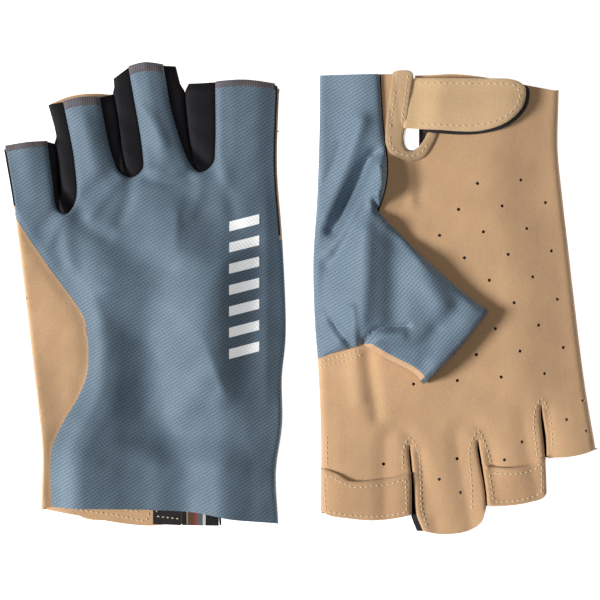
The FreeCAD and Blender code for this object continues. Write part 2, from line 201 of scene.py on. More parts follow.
def nearest(points, line):
    """The point of a line of points closest to each point."""
    d = line[1:] - line[:-1]
    size = np.maximum((d * d).sum(1), 1e-12)
    t = np.clip(((points[:, None] - line[:-1]) * d).sum(2) / size, 0, 1)
    spots = line[:-1] + t[:, :, None] * d
    best = np.argmin(np.linalg.norm(points[:, None] - spots, axis=2), axis=1)
    return spots[np.arange(len(points)), best]


def inside(points, ring):
    p = np.asarray(points, float)
    hit = np.zeros(len(p), bool)
    for (x0, y0), (x1, y1) in zip(ring, np.roll(ring, -1, 0)):
        if y0 == y1:
            continue
        crosses = (y0 > p[:, 1]) != (y1 > p[:, 1])
        at = x0 + (p[:, 1] - y0) / (y1 - y0) * (x1 - x0)
        hit ^= crosses & (p[:, 0] < at)
    return hit


def ramp(t):
    t = np.clip(t, 0, 1)
    return t * t * (3 - 2 * t)


def edge_round(d, radius, power=2.2):
    """0 at an edge and 1 a radius inside it, with an upright start."""
    t = 1 - np.clip(d / radius, 0, 1)
    return (1 - t ** power) ** (1 / power)


def area_of(ring):
    x, y = ring[:, 0], ring[:, 1]
    return 0.5 * np.sum(x * np.roll(y, -1) - np.roll(x, -1) * y)


def to_rings(points, rings):
    """How far each point is from the nearest of the rings."""
    return np.min([distance(points, closed(ring)) for ring in rings], axis=0)


def covered(points, ring, holes):
    """Which points lie in a ring and in none of its holes."""
    hit = inside(points, ring)
    for hole in holes:
        hit &= ~inside(points, hole)
    return hit


def beside(ring, rings, margin):
    """Points that follow a ring at a margin inside it, and keep clear of the other rings."""
    normal = np.roll(ring, 1, 0) - np.roll(ring, -1, 0)
    normal = np.stack([normal[:, 1], -normal[:, 0]], 1)
    normal /= np.maximum(np.linalg.norm(normal, axis=1), 1e-9)[:, None]
    row = ring + normal * margin
    return row[to_rings(row, rings) > 0.85 * margin]


def honeycomb(low, high, spacing):
    """Points of a triangular grid over a box."""
    rows = []
    for k, v in enumerate(np.arange(low[1], high[1], spacing * math.sqrt(3) / 2)):
        us = np.arange(low[0] + 0.5 * spacing * (k % 2), high[0], spacing)
        rows.append(np.stack([us, np.full(len(us), v)], 1))
    return np.vstack(rows)


class Cut:
    """A flat piece of cloth: its plan points, its triangles and its outer ring."""

    def __init__(self, ring, holes=(), spacing=1.15, rows=(), margins=(0.35, 0.9, 1.6)):
        ring = ring if area_of(ring) > 0 else ring[::-1]
        holes = [hole if area_of(hole) < 0 else hole[::-1] for hole in holes]
        rings = [ring] + holes
        edges, start = [], 0
        for r in rings:
            edges += [(start + k, start + (k + 1) % len(r)) for k in range(len(r))]
            start += len(r)
        grid = honeycomb(ring.min(0), ring.max(0), spacing)
        grid = grid[to_rings(grid, rings) > margins[-1] + 0.4 * spacing]
        for row in rows:
            grid = grid[distance(grid, row) > 0.55 * spacing]
        near = [beside(r, rings, margin) for r in rings for margin in margins]
        filling = np.vstack(near + list(rows) + [grid])
        filling = thinned(filling[covered(filling, ring, holes)])
        points = [Vector(p) for p in np.vstack(rings + [filling])]
        got = delaunay_2d_cdt(points, edges, [], 0, 1e-5)
        self.ring = ring
        self.points = np.array([(p.x, p.y) for p in got[0]])
        faces = np.array([f for f in got[2] if len(f) == 3])
        faces = faces[covered(self.points[faces].mean(1), ring, holes)]
        a, b, c = (self.points[faces[:, k]] for k in range(3))
        turn = (b - a)[:, 0] * (c - a)[:, 1] - (b - a)[:, 1] * (c - a)[:, 0]
        faces[turn < 0] = faces[turn < 0][:, ::-1]
        self.faces = faces[np.abs(turn) > 1e-9]


def thinned(points, gap=0.22):
    """The points without those that crowd an earlier one."""
    taken, keep = set(), []
    for k, (x, y) in enumerate(points):
        i, j = int(x // gap), int(y // gap)
        if any((i + a, j + b) in taken for a in (-1, 0, 1) for b in (-1, 0, 1)):
            continue
        taken.add((i, j))
        keep.append(k)
    return points[keep]


# ---- meshes --------------------------------------------------------------------
def vertex_normals(points, faces):
    a, b, c = (points[faces[:, k]] for k in range(3))
    n = np.cross(b - a, c - a)
    out = np.zeros_like(points)
    for k in range(3):
        np.add.at(out, faces[:, k], n)
    return out / np.maximum(np.linalg.norm(out, axis=1), 1e-12)[:, None]


def open_edges(faces):
    """The directed edges that belong to one triangle only."""
    edges = np.vstack([faces[:, [0, 1]], faces[:, [1, 2]], faces[:, [2, 0]]])
    have = set(map(tuple, edges))
    return np.array([e for e in map(tuple, edges) if (e[1], e[0]) not in have])


def merged(parts, gap=0.02):
    """Points, triangles and plan places of several surfaces, joined where they touch."""
    points, faces, plan, start = [], [], [], 0
    for p, f, q in parts:
        points.append(p)
        faces.append(f + start)
        plan.append(q)
        start += len(p)
    points, faces, plan = np.vstack(points), np.vstack(faces), np.vstack(plan)
    seen, to = {}, np.arange(len(points))
    for k in np.unique(open_edges(faces)):
        key = tuple(np.round(points[k] / gap).astype(int))
        near = [seen.get((key[0] + a, key[1] + b, key[2] + c))
                for a in (-1, 0, 1) for b in (-1, 0, 1) for c in (-1, 0, 1)]
        near = [n for n in near if n is not None]
        if near:
            to[k] = near[0]
        else:
            seen[key] = k
    faces = to[faces]
    ok = (faces[:, 0] != faces[:, 1]) & (faces[:, 1] != faces[:, 2]) & (faces[:, 0] != faces[:, 2])
    faces = faces[ok]
    used = np.unique(faces)
    back = np.zeros(len(points), int)
    back[used] = np.arange(len(used))
    return points[used], back[faces], plan[used]


def thick(points, faces, plan, thickness):
    """A closed sheet: the surface given is its outer face."""
    normals = vertex_normals(points, faces)
    inner = points - normals * thickness
    rim = open_edges(faces)
    n = len(points)
    quads = [(b, a, a + n, b + n) for a, b in rim]
    sides = [list(f) for f in faces] + [[f[2] + n, f[1] + n, f[0] + n] for f in faces]
    return np.vstack([points, inner]), sides + [list(q) for q in quads], np.vstack([plan, plan])


def make(name, points, faces, plan, material, sharp=50):
    """A Blender object from points in millimetres; its UV map is its place in the plan."""
    mesh = bpy.data.meshes.new(name)
    points = np.array(points)
    points[:, 2] = np.maximum(points[:, 2], 0)
    mesh.from_pydata((points * MM).tolist(), [], [list(map(int, f)) for f in faces])
    mesh.validate(clean_customdata=False)
    layer = mesh.uv_layers.new(name="UVMap")
    corner = np.zeros(len(mesh.loops), int)
    mesh.loops.foreach_get("vertex_index", corner)
    layer.data.foreach_set("uv", (np.asarray(plan)[corner] / UV_SCALE).ravel())
    mesh.polygons.foreach_set("use_smooth", np.ones(len(mesh.polygons), bool))
    mesh.set_sharp_from_angle(angle=math.radians(sharp))
    mesh.materials.append(material)
    mesh.update()
    piece = bpy.data.objects.new(name, mesh)
    bpy.context.scene.collection.objects.link(piece)
    return piece


def lofted(rows, plan_rows, closed=False):
    """Points, quads and plan places of a skin over rows of equal length."""
    rows = np.asarray(rows)
    count, width = rows.shape[:2]
    quads = []
    for i in range(count - 1):
        for j in range(width if closed else width - 1):
            k = (j + 1) % width
            quads.append([i * width + j, i * width + k, (i + 1) * width + k, (i + 1) * width + j])
    return rows.reshape(-1, 3), quads, np.asarray(plan_rows).reshape(-1, 2)


def triangles(quads):
    out = []
    for q in quads:
        out.append(q[:3])
        if len(q) == 4:
            out.append([q[0], q[2], q[3]])
    return np.array(out)


def lengths(line):
    """How far along a line each of its points is."""
    return np.concatenate([[0], np.cumsum(np.linalg.norm(np.diff(line, axis=0), axis=1))])


def at_lengths(line, at):
    return np.stack([np.interp(at, lengths(line), line[:, k]) for k in (0, 1)], 1)


def along(line, spacing):
    """Evenly spaced places on a line and the direction at each."""
    total = lengths(line)
    count = max(1, int(round(total[-1] / spacing)))
    at = (np.arange(count) + 0.5) * total[-1] / count
    k = np.clip(np.searchsorted(total, at) - 1, 0, len(line) - 2)
    heading = (line[k + 1] - line[k]) / (total[k + 1] - total[k])[:, None]
    return at_lengths(line, at), heading


def resample(line, count):
    return at_lengths(line, np.linspace(0, lengths(line)[-1], count))


def sideways(line):
    """Unit vectors to the left of a line."""
    heading = np.gradient(line, axis=0)
    heading /= np.maximum(np.linalg.norm(heading, axis=1), 1e-9)[:, None]
    return np.stack([-heading[:, 1], heading[:, 0]], 1)


def offset(line, by):
    """The line moved sideways to its left."""
    return line + by * sideways(line)


def part_of(line, low, high):
    """The stretch of a line whose v lies between two values."""
    return line[(line[:, 1] >= low) & (line[:, 1] <= high)]


# ---- the shape of a glove lying down -------------------------------------------
LITTLE_S = smooth(LITTLE_SIDE)
VALLEY_LINE = THUMB_VALLEY + [(51.5, 0), (51.5, 34)]
BLUE_RAISED = VALLEY_LINE + [(-24, 40), (-24, -58)]
THUMB_RING = THUMB_BASE + THUMB_LOWER[::-1][1:] + THUMB_END[::-1][1:] + THUMB_UPPER[::-1][1:-1]
THUMB_RISE = 7.0             # how far the thumb stands off the palm
TABLE_GAP = 0.3              # what stays free under the left glove's thumb
OVER_THUMB = 6.0             # how far the left glove is lifted where it lies on its thumb
OVER_STRAP = 4.0             # and where it lies on its strap
STRAP_HALF = 26              # that strap reaches so far each side of the plan's middle
STRAP_TOP = -64              # and up to this v
MIDDLE = (0.42, 5.6)         # where the two faces meet: part of the depth, and at most this depth
# The knit part of the left glove's upper face, drawn well past its outer sides.
BLUE_SIDE = ([(-60, 60), (-48.3, 30)] + WRAP_EDGE[1:]
             + [(-34.4, -95), (60, -95), (60, 95), (-60, 95)])

# Folds and hollows in the cloth, each a line, how wide and how high (millimetres).
LEFT_BACK_FOLDS = [
    ([(-16, 10), (-19, 0), (-21, -23), (-24, -35), (-26, -44), (-28, -60), (-29, -86)], 9, 4.2),
    ([(4, 10), (3, -5), (1.9, -23), (4.7, -42), (12, -60), (15, -88)], 9, -4.2),
    ([(23, 0), (25, -12), (28, -26), (33, -42), (37, -60), (38, -88)], 10, 2.1),
    ([(-15, -38), (-17, -58), (-16, -86)], 7, 1.2),
    ([(-4, -38), (-2, -58), (1, -86)], 8, -1.6),
    ([(4, 34), (5, 18), (5, 4)], 8, 0.8),
    ([(22, 36), (23, 20), (22, 6)], 8, -0.3),
    ([(12, -44), (17, -38), (22, -30)], 4, 0.8),
    ([(-8, -56), (0, -58), (9, -64)], 5, 0.7),
    ([(0, 69), (4, 63), (7, 57)], 2.4, 0.9),
    ([(-3, 66), (0, 58), (4, 52)], 3, -0.6),
    ([(-22, 64), (-19, 56), (-17, 48)], 4, 0.8),
    ([(26.8, 76), (27, 62), (27.6, 52), (30, 42)], 2.6, 0.8),
    ([(-5, 43), (-6, 36), (-9, 28)], 2.4, -0.8),
    ([(-12, 45), (-18, 41), (-24, 34)], 3, -0.8),
    ([(-9, 44), (-14, 38), (-20, 30)], 2.2, 0.7),
    ([(1, 44), (8, 42.4), (16, 44)], 2.2, -0.8),
    ([(2, 47), (9, 46), (15, 48)], 2.2, 0.6),
    ([(21, 45), (20, 38), (17, 30)], 2.4, 0.6),
    ([(26, 47), (30, 40), (33, 30)], 2.6, -0.6),
    ([(-29, 30), (-29, 22), (-27, 12)], 2.8, 0.9),
    ([(-25, 33), (-21, 26), (-14, 22)], 3, -0.9),
    ([(-33, 32), (-38, 26), (-42, 22)], 2.2, -0.7),
    ([(-31, 30), (-34, 22), (-37, 17)], 2.0, 0.6),
]
RIGHT_PALM_FOLDS = [
    ([(17.2, -52), (16.8, -44), (16, -37)], 2.0, 0.45),
    ([(13.6, -51), (13.4, -44), (13, -38)], 2.4, -0.35),
    ([(37.4, 18), (37, 26), (35.6, 36)], 3.0, 0.8),
    ([(32, 18.5), (31.4, 25), (30, 34), (29, 42)], 2.6, -1.1),
    ([(-34.4, 40), (-34.8, 56)], 1.8, -0.5),
    ([(-13, 56), (-14.6, 72)], 1.8, -0.4),
    ([(13, 56), (11, 78)], 1.8, -0.5),
    ([(-10, -40), (-20, -10), (-22, 20)], 16, 0.5),
    ([(27.5, -50), (27, -45), (28, -38)], 6, 2.0),
]
BLUE_FOLDS = [
    ([(35, -67), (39.4, -53), (43.8, -42), (48, -32)], 3.2, 2.6),
    ([(42, -59), (45.6, -50), (49.5, -43)], 1.6, -0.7),
    ([(30, -55), (33, -51), (37, -43.7), (41.3, -35.2), (45.7, -27)], 2.3, -3.4),
    ([(29.6, -50), (31.2, -47), (36, -37.4), (41.6, -27.4), (47.1, -18.9)], 2.3, 2.3),
    ([(32.1, -42.3), (35.6, -33), (38.4, -27.6), (43.2, -19.4), (47.3, -13.4)], 2.2, -0.5),
    ([(27.8, -52), (27.4, -46), (28.6, -40)], 2.8, 3.6),
    ([(30.2, -38.2), (29.2, -35.4)], 1.1, -3.2),
    ([(33.4, -26), (33.4, -14), (34, -2), (35, 7)], 3.4, 2.0),
    ([(22.5, -22), (22.5, -8), (23, 5)], 4.6, -2.2),
    ([(12.5, -16), (10, -9), (6, 0)], 4.6, 2.2),
    ([(8, 10), (14, 16), (24, 18)], 2.6, -1.0),
    ([(0, 2), (6, 10), (12, 22)], 3.0, -0.9),
    ([(-6, 4), (2, 14), (9, 24)], 3.4, 0.8),
    ([(38.9, 15.6), (41.6, 12), (45.6, 6.6)], 1.4, -1.7),
    ([(43, 15), (46, 10), (49, 4)], 1.4, 0.8),
    ([(36.8, 16), (37.6, 9), (38.2, 2)], 1.3, 1.3),
    ([(34, 15), (32.6, 12.6), (29, 9.6), (22.8, 8.9), (18, 8.6)], 1.1, -2.0),
    ([(32, 16), (27, 12.6), (20, 12)], 1.8, 1.1),
    ([(32, -90), (32, -76), (33, -64)], 10.0, 2.6),
    ([(49, -90), (49, -64)], 12.0, -1.5),
]


def folds(p, table):
    out = np.zeros(len(p))
    for line, width, height in table:
        out += height * np.exp(-(distance(p, smooth(line, 3)) / width) ** 2)
    return out


def ripple(p, seed, wave, count=7):
    """Soft unevenness about one millimetre deep at most, with the given wavelength."""
    rng = np.random.default_rng(seed)
    out = np.zeros(len(p))
    for _ in range(count):
        angle, phase = rng.uniform(0, 2 * math.pi, 2)
        k = 2 * math.pi / (wave * rng.uniform(0.7, 1.5))
        out += np.sin(k * (p[:, 0] * math.cos(angle) + p[:, 1] * math.sin(angle)) + phase)
    return out / count


GAP_CACHE = {}
GAP_START = 20               # below this v nothing is near a gap
FAR = 99.0


def smooth_gap(gap):
    """A gap's edge: two sides and a rounded root, as one curve."""
    key = tuple(gap)
    if key not in GAP_CACHE:
        GAP_CACHE[key] = smooth(gap, 1.2)
    return GAP_CACHE[key]


def to_gap(p, gaps):
    """How far each place is from the nearest gap between fingers."""
    far = np.full(len(p), FAR)
    near = p[:, 1] > GAP_START
    if near.any():
        far[near] = np.min([distance(p[near], smooth_gap(gap)) for gap in gaps], axis=0)
    return far


def to_free_edge(p):
    """How far each place is from the thumb's two long edges."""
    return np.minimum(distance(p, smooth(THUMB_UPPER)), distance(p, smooth(THUMB_LOWER)))


class Glove:
    """One glove: its outlines, the heights of its faces and where it lies on the table."""

    def __init__(self, side):
        self.side = side
        joints = {j["name"]: j for j in frame["joints"]}
        fold = joints[side + "_finger_fold"]
        strap = joints[side + "_strap_peel"]
        self.sign = 1 if side == "left" else -1
        self.cu = strap["pos_m"][0] / MM - self.sign * STRAP_HINGE_U
        self.cv = fold["pos_m"][1] / MM - self.sign * FOLD_V
        self.slits = LEFT_SLITS if side == "left" else RIGHT_SLITS
        self.ends = LEFT_ENDS if side == "left" else RIGHT_ENDS
        self.thumb_side = smooth(LEFT_THUMB_SIDE if side == "left" else RIGHT_THUMB_SIDE)
        self.up = "back" if side == "left" else "palm"
        short = 0.0 if side == "left" else 1.5
        self.back_ends = [[(u, v - short) for u, v in end] for end in BACK_ENDS]
        self.back_gaps = [[(g[0][0], g[0][1] - short)] + g[1:-1] + [(g[-1][0], g[-1][1] - short)]
                          for g in BACK_GAPS]

    # -- distances in the plan --
    def to_side(self, p):
        """How far each place is from the nearer side of the glove."""
        return np.minimum(distance(p, self.thumb_side), distance(p, LITTLE_S))

    # -- heights above the table, in millimetres --
    def rests(self, p):
        """The lower face: flat on the table, or draped over the thumb and the strap."""
        if self.side == "right":
            return np.full(len(p), 0.25)
        edge = distance(p, closed(THUMB_RING))
        signed = np.where(inside(p, THUMB_RING), -edge, edge)
        over_thumb = OVER_THUMB * ramp((10 - signed) / 20)
        du = np.maximum(np.abs(p[:, 0]) - STRAP_HALF, 0)
        dv = np.maximum(p[:, 1] - STRAP_TOP, 0)
        over_strap = OVER_STRAP * ramp(1 - np.hypot(du, dv) / 15)
        tips = 1.5 * ramp((p[:, 1] - 35) / 20)
        return 0.4 + (over_thumb ** 3 + over_strap ** 3 + tips ** 3) ** (1 / 3)

    def depth(self, p, sides, gaps):
        """How thick the glove lies, from its lower face to its upper one."""
        if self.side == "right":
            hand = 5.4 + 3.1 * ramp(sides / 26)
            finger = 5.6 + 0.9 * ramp(np.minimum(sides, gaps + 2) / 8)
        else:
            hand = 8.0 + 0.5 * ramp(sides / 14)
            finger = 4.9 + 1.8 * ramp(np.minimum(sides, gaps + 1.5) / 9)
        mix = ramp((p[:, 1] - 24) / 30)
        cuff = 1 - 0.22 * ramp((-62 - p[:, 1]) / 20)
        return (hand * (1 - mix) + finger * mix) * cuff

    def right_top(self, p, low, tall):
        """The upper face with its folds and a little unevenness."""
        return low + tall + folds(p, RIGHT_PALM_FOLDS) + 0.3 * ripple(p, 3, 24) + 0.1 * ripple(p, 5, 9)

    def left_top(self, p, low, tall):
        """The upper face with its folds, lower on the suede and past the index finger's seam."""
        u = p[:, 0]
        wrap = distance(p, smooth(WRAP_EDGE, 2))
        blue = inside(p, BLUE_SIDE)
        top = low + tall + folds(p, LEFT_BACK_FOLDS) * np.where(blue, ramp((wrap + 1) / 9), 0.02)
        top += 0.4 * ripple(p, 3, 24) + 0.18 * ripple(p, 5, 9)
        top -= 0.6 * np.exp(-(wrap / np.where(blue, 1.4, 2.6)) ** 2)
        level = np.where(blue, 1 - ramp(wrap / 13), 1) * ramp((20 - u) / 10)
        lean = 0.6 + 1.9 * ramp((-10 - p[:, 1]) / 30)
        top -= level * (0.95 * np.minimum(low - 0.4, 3) + lean * ramp((u + 46) / 16))
        top -= 0.12 * np.maximum(u - 28, 0) * ramp((u - 24) / 12)
        return top - 0.3 * np.maximum(u - 45, 0) * ramp((48 - np.abs(p[:, 1])) / 20)

    def faces(self, p):
        """The heights of the lower and the upper face."""
        sides = self.to_side(p)
        back_gap = to_gap(p, self.back_gaps)
        slit = to_gap(p, self.slits)
        low = self.rests(p)
        tall = self.depth(p, sides, back_gap)
        middle = low + MIDDLE[0] * np.minimum(tall, MIDDLE[1])
        if self.side == "left":
            top = self.left_top(p, low, tall) - 1.6 * (1 - edge_round(back_gap, 3.0))
            low = low + 0.8 * (1 - edge_round(slit, 2.5))
            full = edge_round(sides, 1.5)
        else:
            top = self.right_top(p, low, tall) - 0.8 * (1 - edge_round(slit, 1.8))
            low = low + 0.8 * (1 - edge_round(back_gap, 2.5))
            full = edge_round(sides, 2.6)
        return middle + (low - middle) * full, middle + (top - middle) * full

    def height(self, face, p):
        low, top = self.faces(p)
        return top if face == self.up else low

    def above(self, face, lift=0.0):
        """The height of a surface that stands off a face, as a function of the plan."""
        return lambda p: self.height(face, p) + lift * self.outward(face)

    def rise(self, p):
        """How far the blue cloth stands off the palm where the thumb lies."""
        valley = np.where(inside(p, BLUE_RAISED), distance(p, smooth(VALLEY_LINE)), 0)
        free = to_free_edge(p)
        seam = np.minimum(distance(p, smooth(STRIP_EDGE)), distance(p, smooth(CROTCH_SEAM)))
        crown = 0.2 + 0.62 * edge_round(free, 3.0) + 0.18 * ramp(free / 9)
        return THUMB_RISE * ramp(valley / 13) * crown * edge_round(seam + 0.2, 7)

    def blue(self, p):
        """The height of the blue cloth on the palm's side, over the thumb and beside it."""
        palm = self.height("palm", p)
        keep = edge_round(self.to_side(p), 2.6)
        rise = self.rise(p)
        if self.side == "left":
            return palm - np.minimum(rise, np.maximum(palm - TABLE_GAP, 0)) * keep
        shape = folds(p, BLUE_FOLDS) * edge_round(distance(p, smooth(STRIP_EDGE)), 2.2)
        return palm + (rise + shape * edge_round(to_free_edge(p), 3.5)) * keep

    def under_thumb(self, p):
        """The height of the thumb's suede, between the thumb and the palm."""
        palm = self.height("palm", p)
        gap = 0.25 + (self.rise(p) - 0.25) * (1 - edge_round(to_free_edge(p), 1.6))
        return palm + gap if self.side == "right" else palm - np.minimum(gap, palm - TABLE_GAP)

    # -- placing --
    def place(self, p, z):
        return np.stack([self.cu + self.sign * p[:, 0], self.cv + self.sign * p[:, 1], z], 1)

    def outward(self, face):
        return 1 if face == self.up else -1

    def skin(self, face, cut, height=None):
        """A cut piece laid on a face: points, triangles that look outwards, plan places."""
        z = self.height(face, cut.points) if height is None else height(cut.points)
        faces = cut.faces if self.outward(face) > 0 else cut.faces[:, ::-1]
        return self.place(cut.points, z), faces, cut.points

    def name(self, part):
        return self.side + "_glove_" + part

    def bends(self, piece, child):
        """Bakes a piece's placement into its mesh; nothing blends it towards the fingers, the thumb or the
        strap. child is not used.
        """
        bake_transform(piece)


# ---- materials -----------------------------------------------------------------
def srgb(r, g, b):
    """A colour as it looks on screen, 0 to 255, turned into light."""
    return tuple((c / 255 / 12.92 if c <= 10 else ((c / 255 + 0.055) / 1.055) ** 2.4)
                 for c in (r, g, b)) + (1.0,)


def tint(tone, *by):
    """A colour with its parts multiplied, by one factor or by three."""
    r, g, b = by if len(by) == 3 else by * 3
    return (tone[0] * r, tone[1] * g, tone[2] * b, 1)


def grey(value):
    return (value, value, value, 1)


class Shader:
    """A Principled material whose patterns are read in millimetres of the plan."""

    def __init__(self, name, rough, sheen=0.0, sheen_rough=0.5, specular=0.3):
        self.material = bpy.data.materials.new(name)
        self.material.use_nodes = True
        self.tree = self.material.node_tree
        self.surface = self.tree.nodes["Principled BSDF"]
        self.set("Roughness", rough)
        self.set("Sheen Weight", sheen)
        self.set("Sheen Roughness", sheen_rough)
        self.set("Specular IOR Level", specular)
        place = self.node("ShaderNodeUVMap")
        place.uv_map = "UVMap"
        scale = self.node("ShaderNodeVectorMath", operation="SCALE")
        scale.inputs["Scale"].default_value = UV_SCALE
        self.link(place.outputs[0], scale.inputs[0])
        self.place = scale.outputs[0]

    def set(self, socket, value):
        self.surface.inputs[socket].default_value = value

    def node(self, kind, **settings):
        made = self.tree.nodes.new(kind)
        for key, value in settings.items():
            setattr(made, key, value)
        return made

    def link(self, a, b):
        self.tree.links.new(a, b)

    def feed(self, sockets, values):
        """Puts a plain value on each socket, or joins it to another node."""
        for socket, value in zip(sockets, values):
            if isinstance(value, (int, float, tuple)):
                socket.default_value = value
            else:
                self.link(value, socket)

    def math(self, operation, *values):
        made = self.node("ShaderNodeMath", operation=operation)
        self.feed(made.inputs, values)
        return made.outputs[0]

    def mix(self, kind, amount, a, b):
        made = self.node("ShaderNodeMix", data_type="RGBA", blend_type=kind)
        self.feed((made.inputs[0], made.inputs[6], made.inputs[7]), (amount, a, b))
        return made.outputs[2]

    def noise(self, size, detail=2.0, rough=0.5):
        """Noise whose lumps are about size millimetres across."""
        made = self.node("ShaderNodeTexNoise", noise_dimensions="2D")
        made.inputs["Scale"].default_value = 1 / size
        made.inputs["Detail"].default_value = detail
        made.inputs["Roughness"].default_value = rough
        self.link(self.place, made.inputs["Vector"])
        return made.outputs["Fac"]

    def wave(self, angle, pitch):
        """A cosine across the plan: 1 on its crests and -1 between them."""
        k = 2 * math.pi / pitch
        dot = self.node("ShaderNodeVectorMath", operation="DOT_PRODUCT")
        dot.inputs[1].default_value = (k * math.cos(angle), k * math.sin(angle), 0)
        self.link(self.place, dot.inputs[0])
        return self.math("COSINE", dot.outputs["Value"])

    def rib(self, angle, pitch):
        """The same cosine, from 0 to 1."""
        return self.math("ADD", self.math("MULTIPLY", self.wave(angle, pitch), 0.5), 0.5)

    def ramp(self, value, *stops):
        made = self.node("ShaderNodeValToRGB")
        elements = made.color_ramp.elements
        while len(elements) < len(stops):
            elements.new(0.5)
        for element, (at, colour) in zip(elements, stops):
            element.position = at
            element.color = colour
        self.link(value, made.inputs[0])
        return made.outputs["Color"]

    def finish(self, colour, height, depth, strength=1.0):
        """The surface's colour, and a bump that is depth millimetres deep."""
        self.link(colour, self.surface.inputs["Base Color"])
        bump = self.node("ShaderNodeBump")
        bump.inputs["Strength"].default_value = strength
        bump.inputs["Distance"].default_value = depth * MM
        self.link(height, bump.inputs["Height"])
        self.link(bump.outputs[0], self.surface.inputs["Normal"])
        return self.material


# Rows of pores in the knit: which way they lie (degrees), how far apart, how marked.
KNIT_ROWS = [(121, 1.18, 0.56), (41, 1.13, 0.26), (-7, 0.89, 0.18)]
THUMB_TURN = 17              # the thumb is cut with its rows turned by this angle
LABEL_U = (13.8, 27.4)       # where the label's bands start and end


def knit(name, light, dark, hole, turn=0):
    """A fine warp knit: small pores in slanting rows between raised threads, with painted shade: the pores
    take a dark colour for the shade inside them.
    """
    s = Shader(name, rough=0.62, sheen=0.25, sheen_rough=0.4, specular=0.35)
    pores = 0.5
    for angle, pitch, weight in KNIT_ROWS:
        row = s.wave(math.radians(angle + turn), pitch)
        pores = s.math("ADD", s.math("MULTIPLY", row, weight / 2), pores)
    cloud = s.mix("MIX", s.noise(14, 3), dark, light)
    twist = s.ramp(s.noise(0.5, 2), (0.3, grey(0.55)), (0.7, grey(1.3)))
    thread = s.mix("MULTIPLY", 0.3, cloud, twist)
    # painted shade: the pores are coloured with the dark hole colour, for the shade inside them
    pore_shade_mask = s.ramp(pores, (0.3, grey(0)), (1.0, grey(0.6)))
    return s.finish(s.mix("MIX", pore_shade_mask, thread, hole), s.math("SUBTRACT", 1.0, pores), 0.12, 0.5)


def suede(name, tone):
    """Napped leather: a fine nap over soft darker and lighter patches."""
    s = Shader(name, rough=0.92, sheen=0.35, sheen_rough=0.6, specular=0.15)
    patch = s.ramp(s.noise(16, 2, 0.5), (0.3, tint(tone, 0.95, 0.94, 0.93)), (0.7, tint(tone, 1.03)))
    fibre = s.ramp(s.noise(0.5, 4, 0.7), (0.3, (0.86, 0.85, 0.84, 1)), (0.7, grey(1.1)))
    nap = s.math("ADD", s.noise(0.4, 4, 0.7), s.noise(2.2, 2))
    return s.finish(s.mix("MULTIPLY", 1.0, patch, fibre), nap, 0.12, 0.55)


def stretch(name, tone):
    """Smooth four-way stretch cloth with a fine rib."""
    s = Shader(name, rough=0.6, sheen=0.0, specular=0.15)
    rib = s.rib(0.0, 0.42)
    shade = s.ramp(rib, (0.1, tint(tone, 0.6)), (0.9, tint(tone, 1.3)))
    return s.finish(shade, s.math("ADD", rib, s.noise(0.5, 2)), 0.05, 0.5)


def tape(name, tone):
    """Hook-and-loop tape: a short dark pile."""
    s = Shader(name, rough=0.85, sheen=0.2)
    pile = s.noise(0.5, 3, 0.8)
    return s.finish(s.ramp(pile, (0.3, tint(tone, 0.5)), (0.7, tint(tone, 1.8))), pile, 0.35)


def hem_cloth(name, tone, brown):
    """A folded edge binding, finely ribbed, with small patches of a warmer tone."""
    s = Shader(name, rough=0.8, sheen=0.15)
    rib = s.rib(0.0, 0.85)
    patches = s.ramp(s.noise(2.5, 3), (0.35, grey(0)), (0.65, grey(1)))
    shade = s.ramp(rib, (0.2, grey(1)), (0.9, (0.8, 0.79, 0.8, 1)))
    cloth = s.mix("MULTIPLY", 1.0, s.mix("MIX", patches, tone, brown), shade)
    return s.finish(cloth, s.math("ADD", rib, s.noise(0.3, 2)), 0.1, 0.7)


def yarn(name, tone):
    s = Shader(name, rough=0.7, sheen=0.2)
    twist = s.rib(0.8, 0.3)
    return s.finish(s.ramp(twist, (0.0, tint(tone, 0.8, 0.78, 0.74)), (1.0, tone)), twist, 0.05, 0.6)


def printed(name, tone, painted_glow):
    """A thin white film over the rows of the knit, with a painted glow: a little light of its own that
    makes it brighter than the lamps alone would.
    """
    s = Shader(name, rough=0.5, specular=0.3)
    # painted glow: emission on a surface that is no lamp
    s.set("Emission Color", grey(1))
    s.set("Emission Strength", painted_glow)
    pores = s.math("ADD", *(s.wave(math.radians(angle), pitch) for angle, pitch, _ in KNIT_ROWS[:2]))
    film = s.ramp(s.noise(0.6, 3), (0.25, tint(tone, 0.9)), (0.6, tone))
    return s.finish(film, s.math("MULTIPLY", pores, -1.0), 0.04, 0.5)


def label_weave(name):
    """A small woven label on black: a light edge, a brown, a red, a grey and a white band, with painted
    shade: all are coloured darker than the label's own, for the shade inside the cuff.
    """
    s = Shader(name, rough=0.6)
    across = s.node("ShaderNodeSeparateXYZ")
    s.link(s.place, across.inputs[0])
    start, end = LABEL_U
    at = s.math("DIVIDE", s.math("SUBTRACT", across.outputs["X"], start), end - start)
    # painted shade: these band colours are dimmed for the shade inside the cuff
    dimmed_bands = s.ramp(at, (0.0, srgb(26, 24, 26)), (0.12, srgb(150, 132, 110)), (0.16, srgb(92, 66, 52)),
                   (0.32, srgb(140, 60, 52)), (0.4, srgb(96, 98, 106)), (0.56, srgb(205, 204, 200)),
                   (0.64, srgb(26, 24, 26)))
    dimmed_bands.node.color_ramp.interpolation = "CONSTANT"
    weave = s.rib(math.pi / 2, 0.3)
    cloth = s.mix("MULTIPLY", 0.35, dimmed_bands, s.ramp(weave, (0, grey(0.7)), (1, grey(1))))
    return s.finish(cloth, weave, 0.06, 0.6)
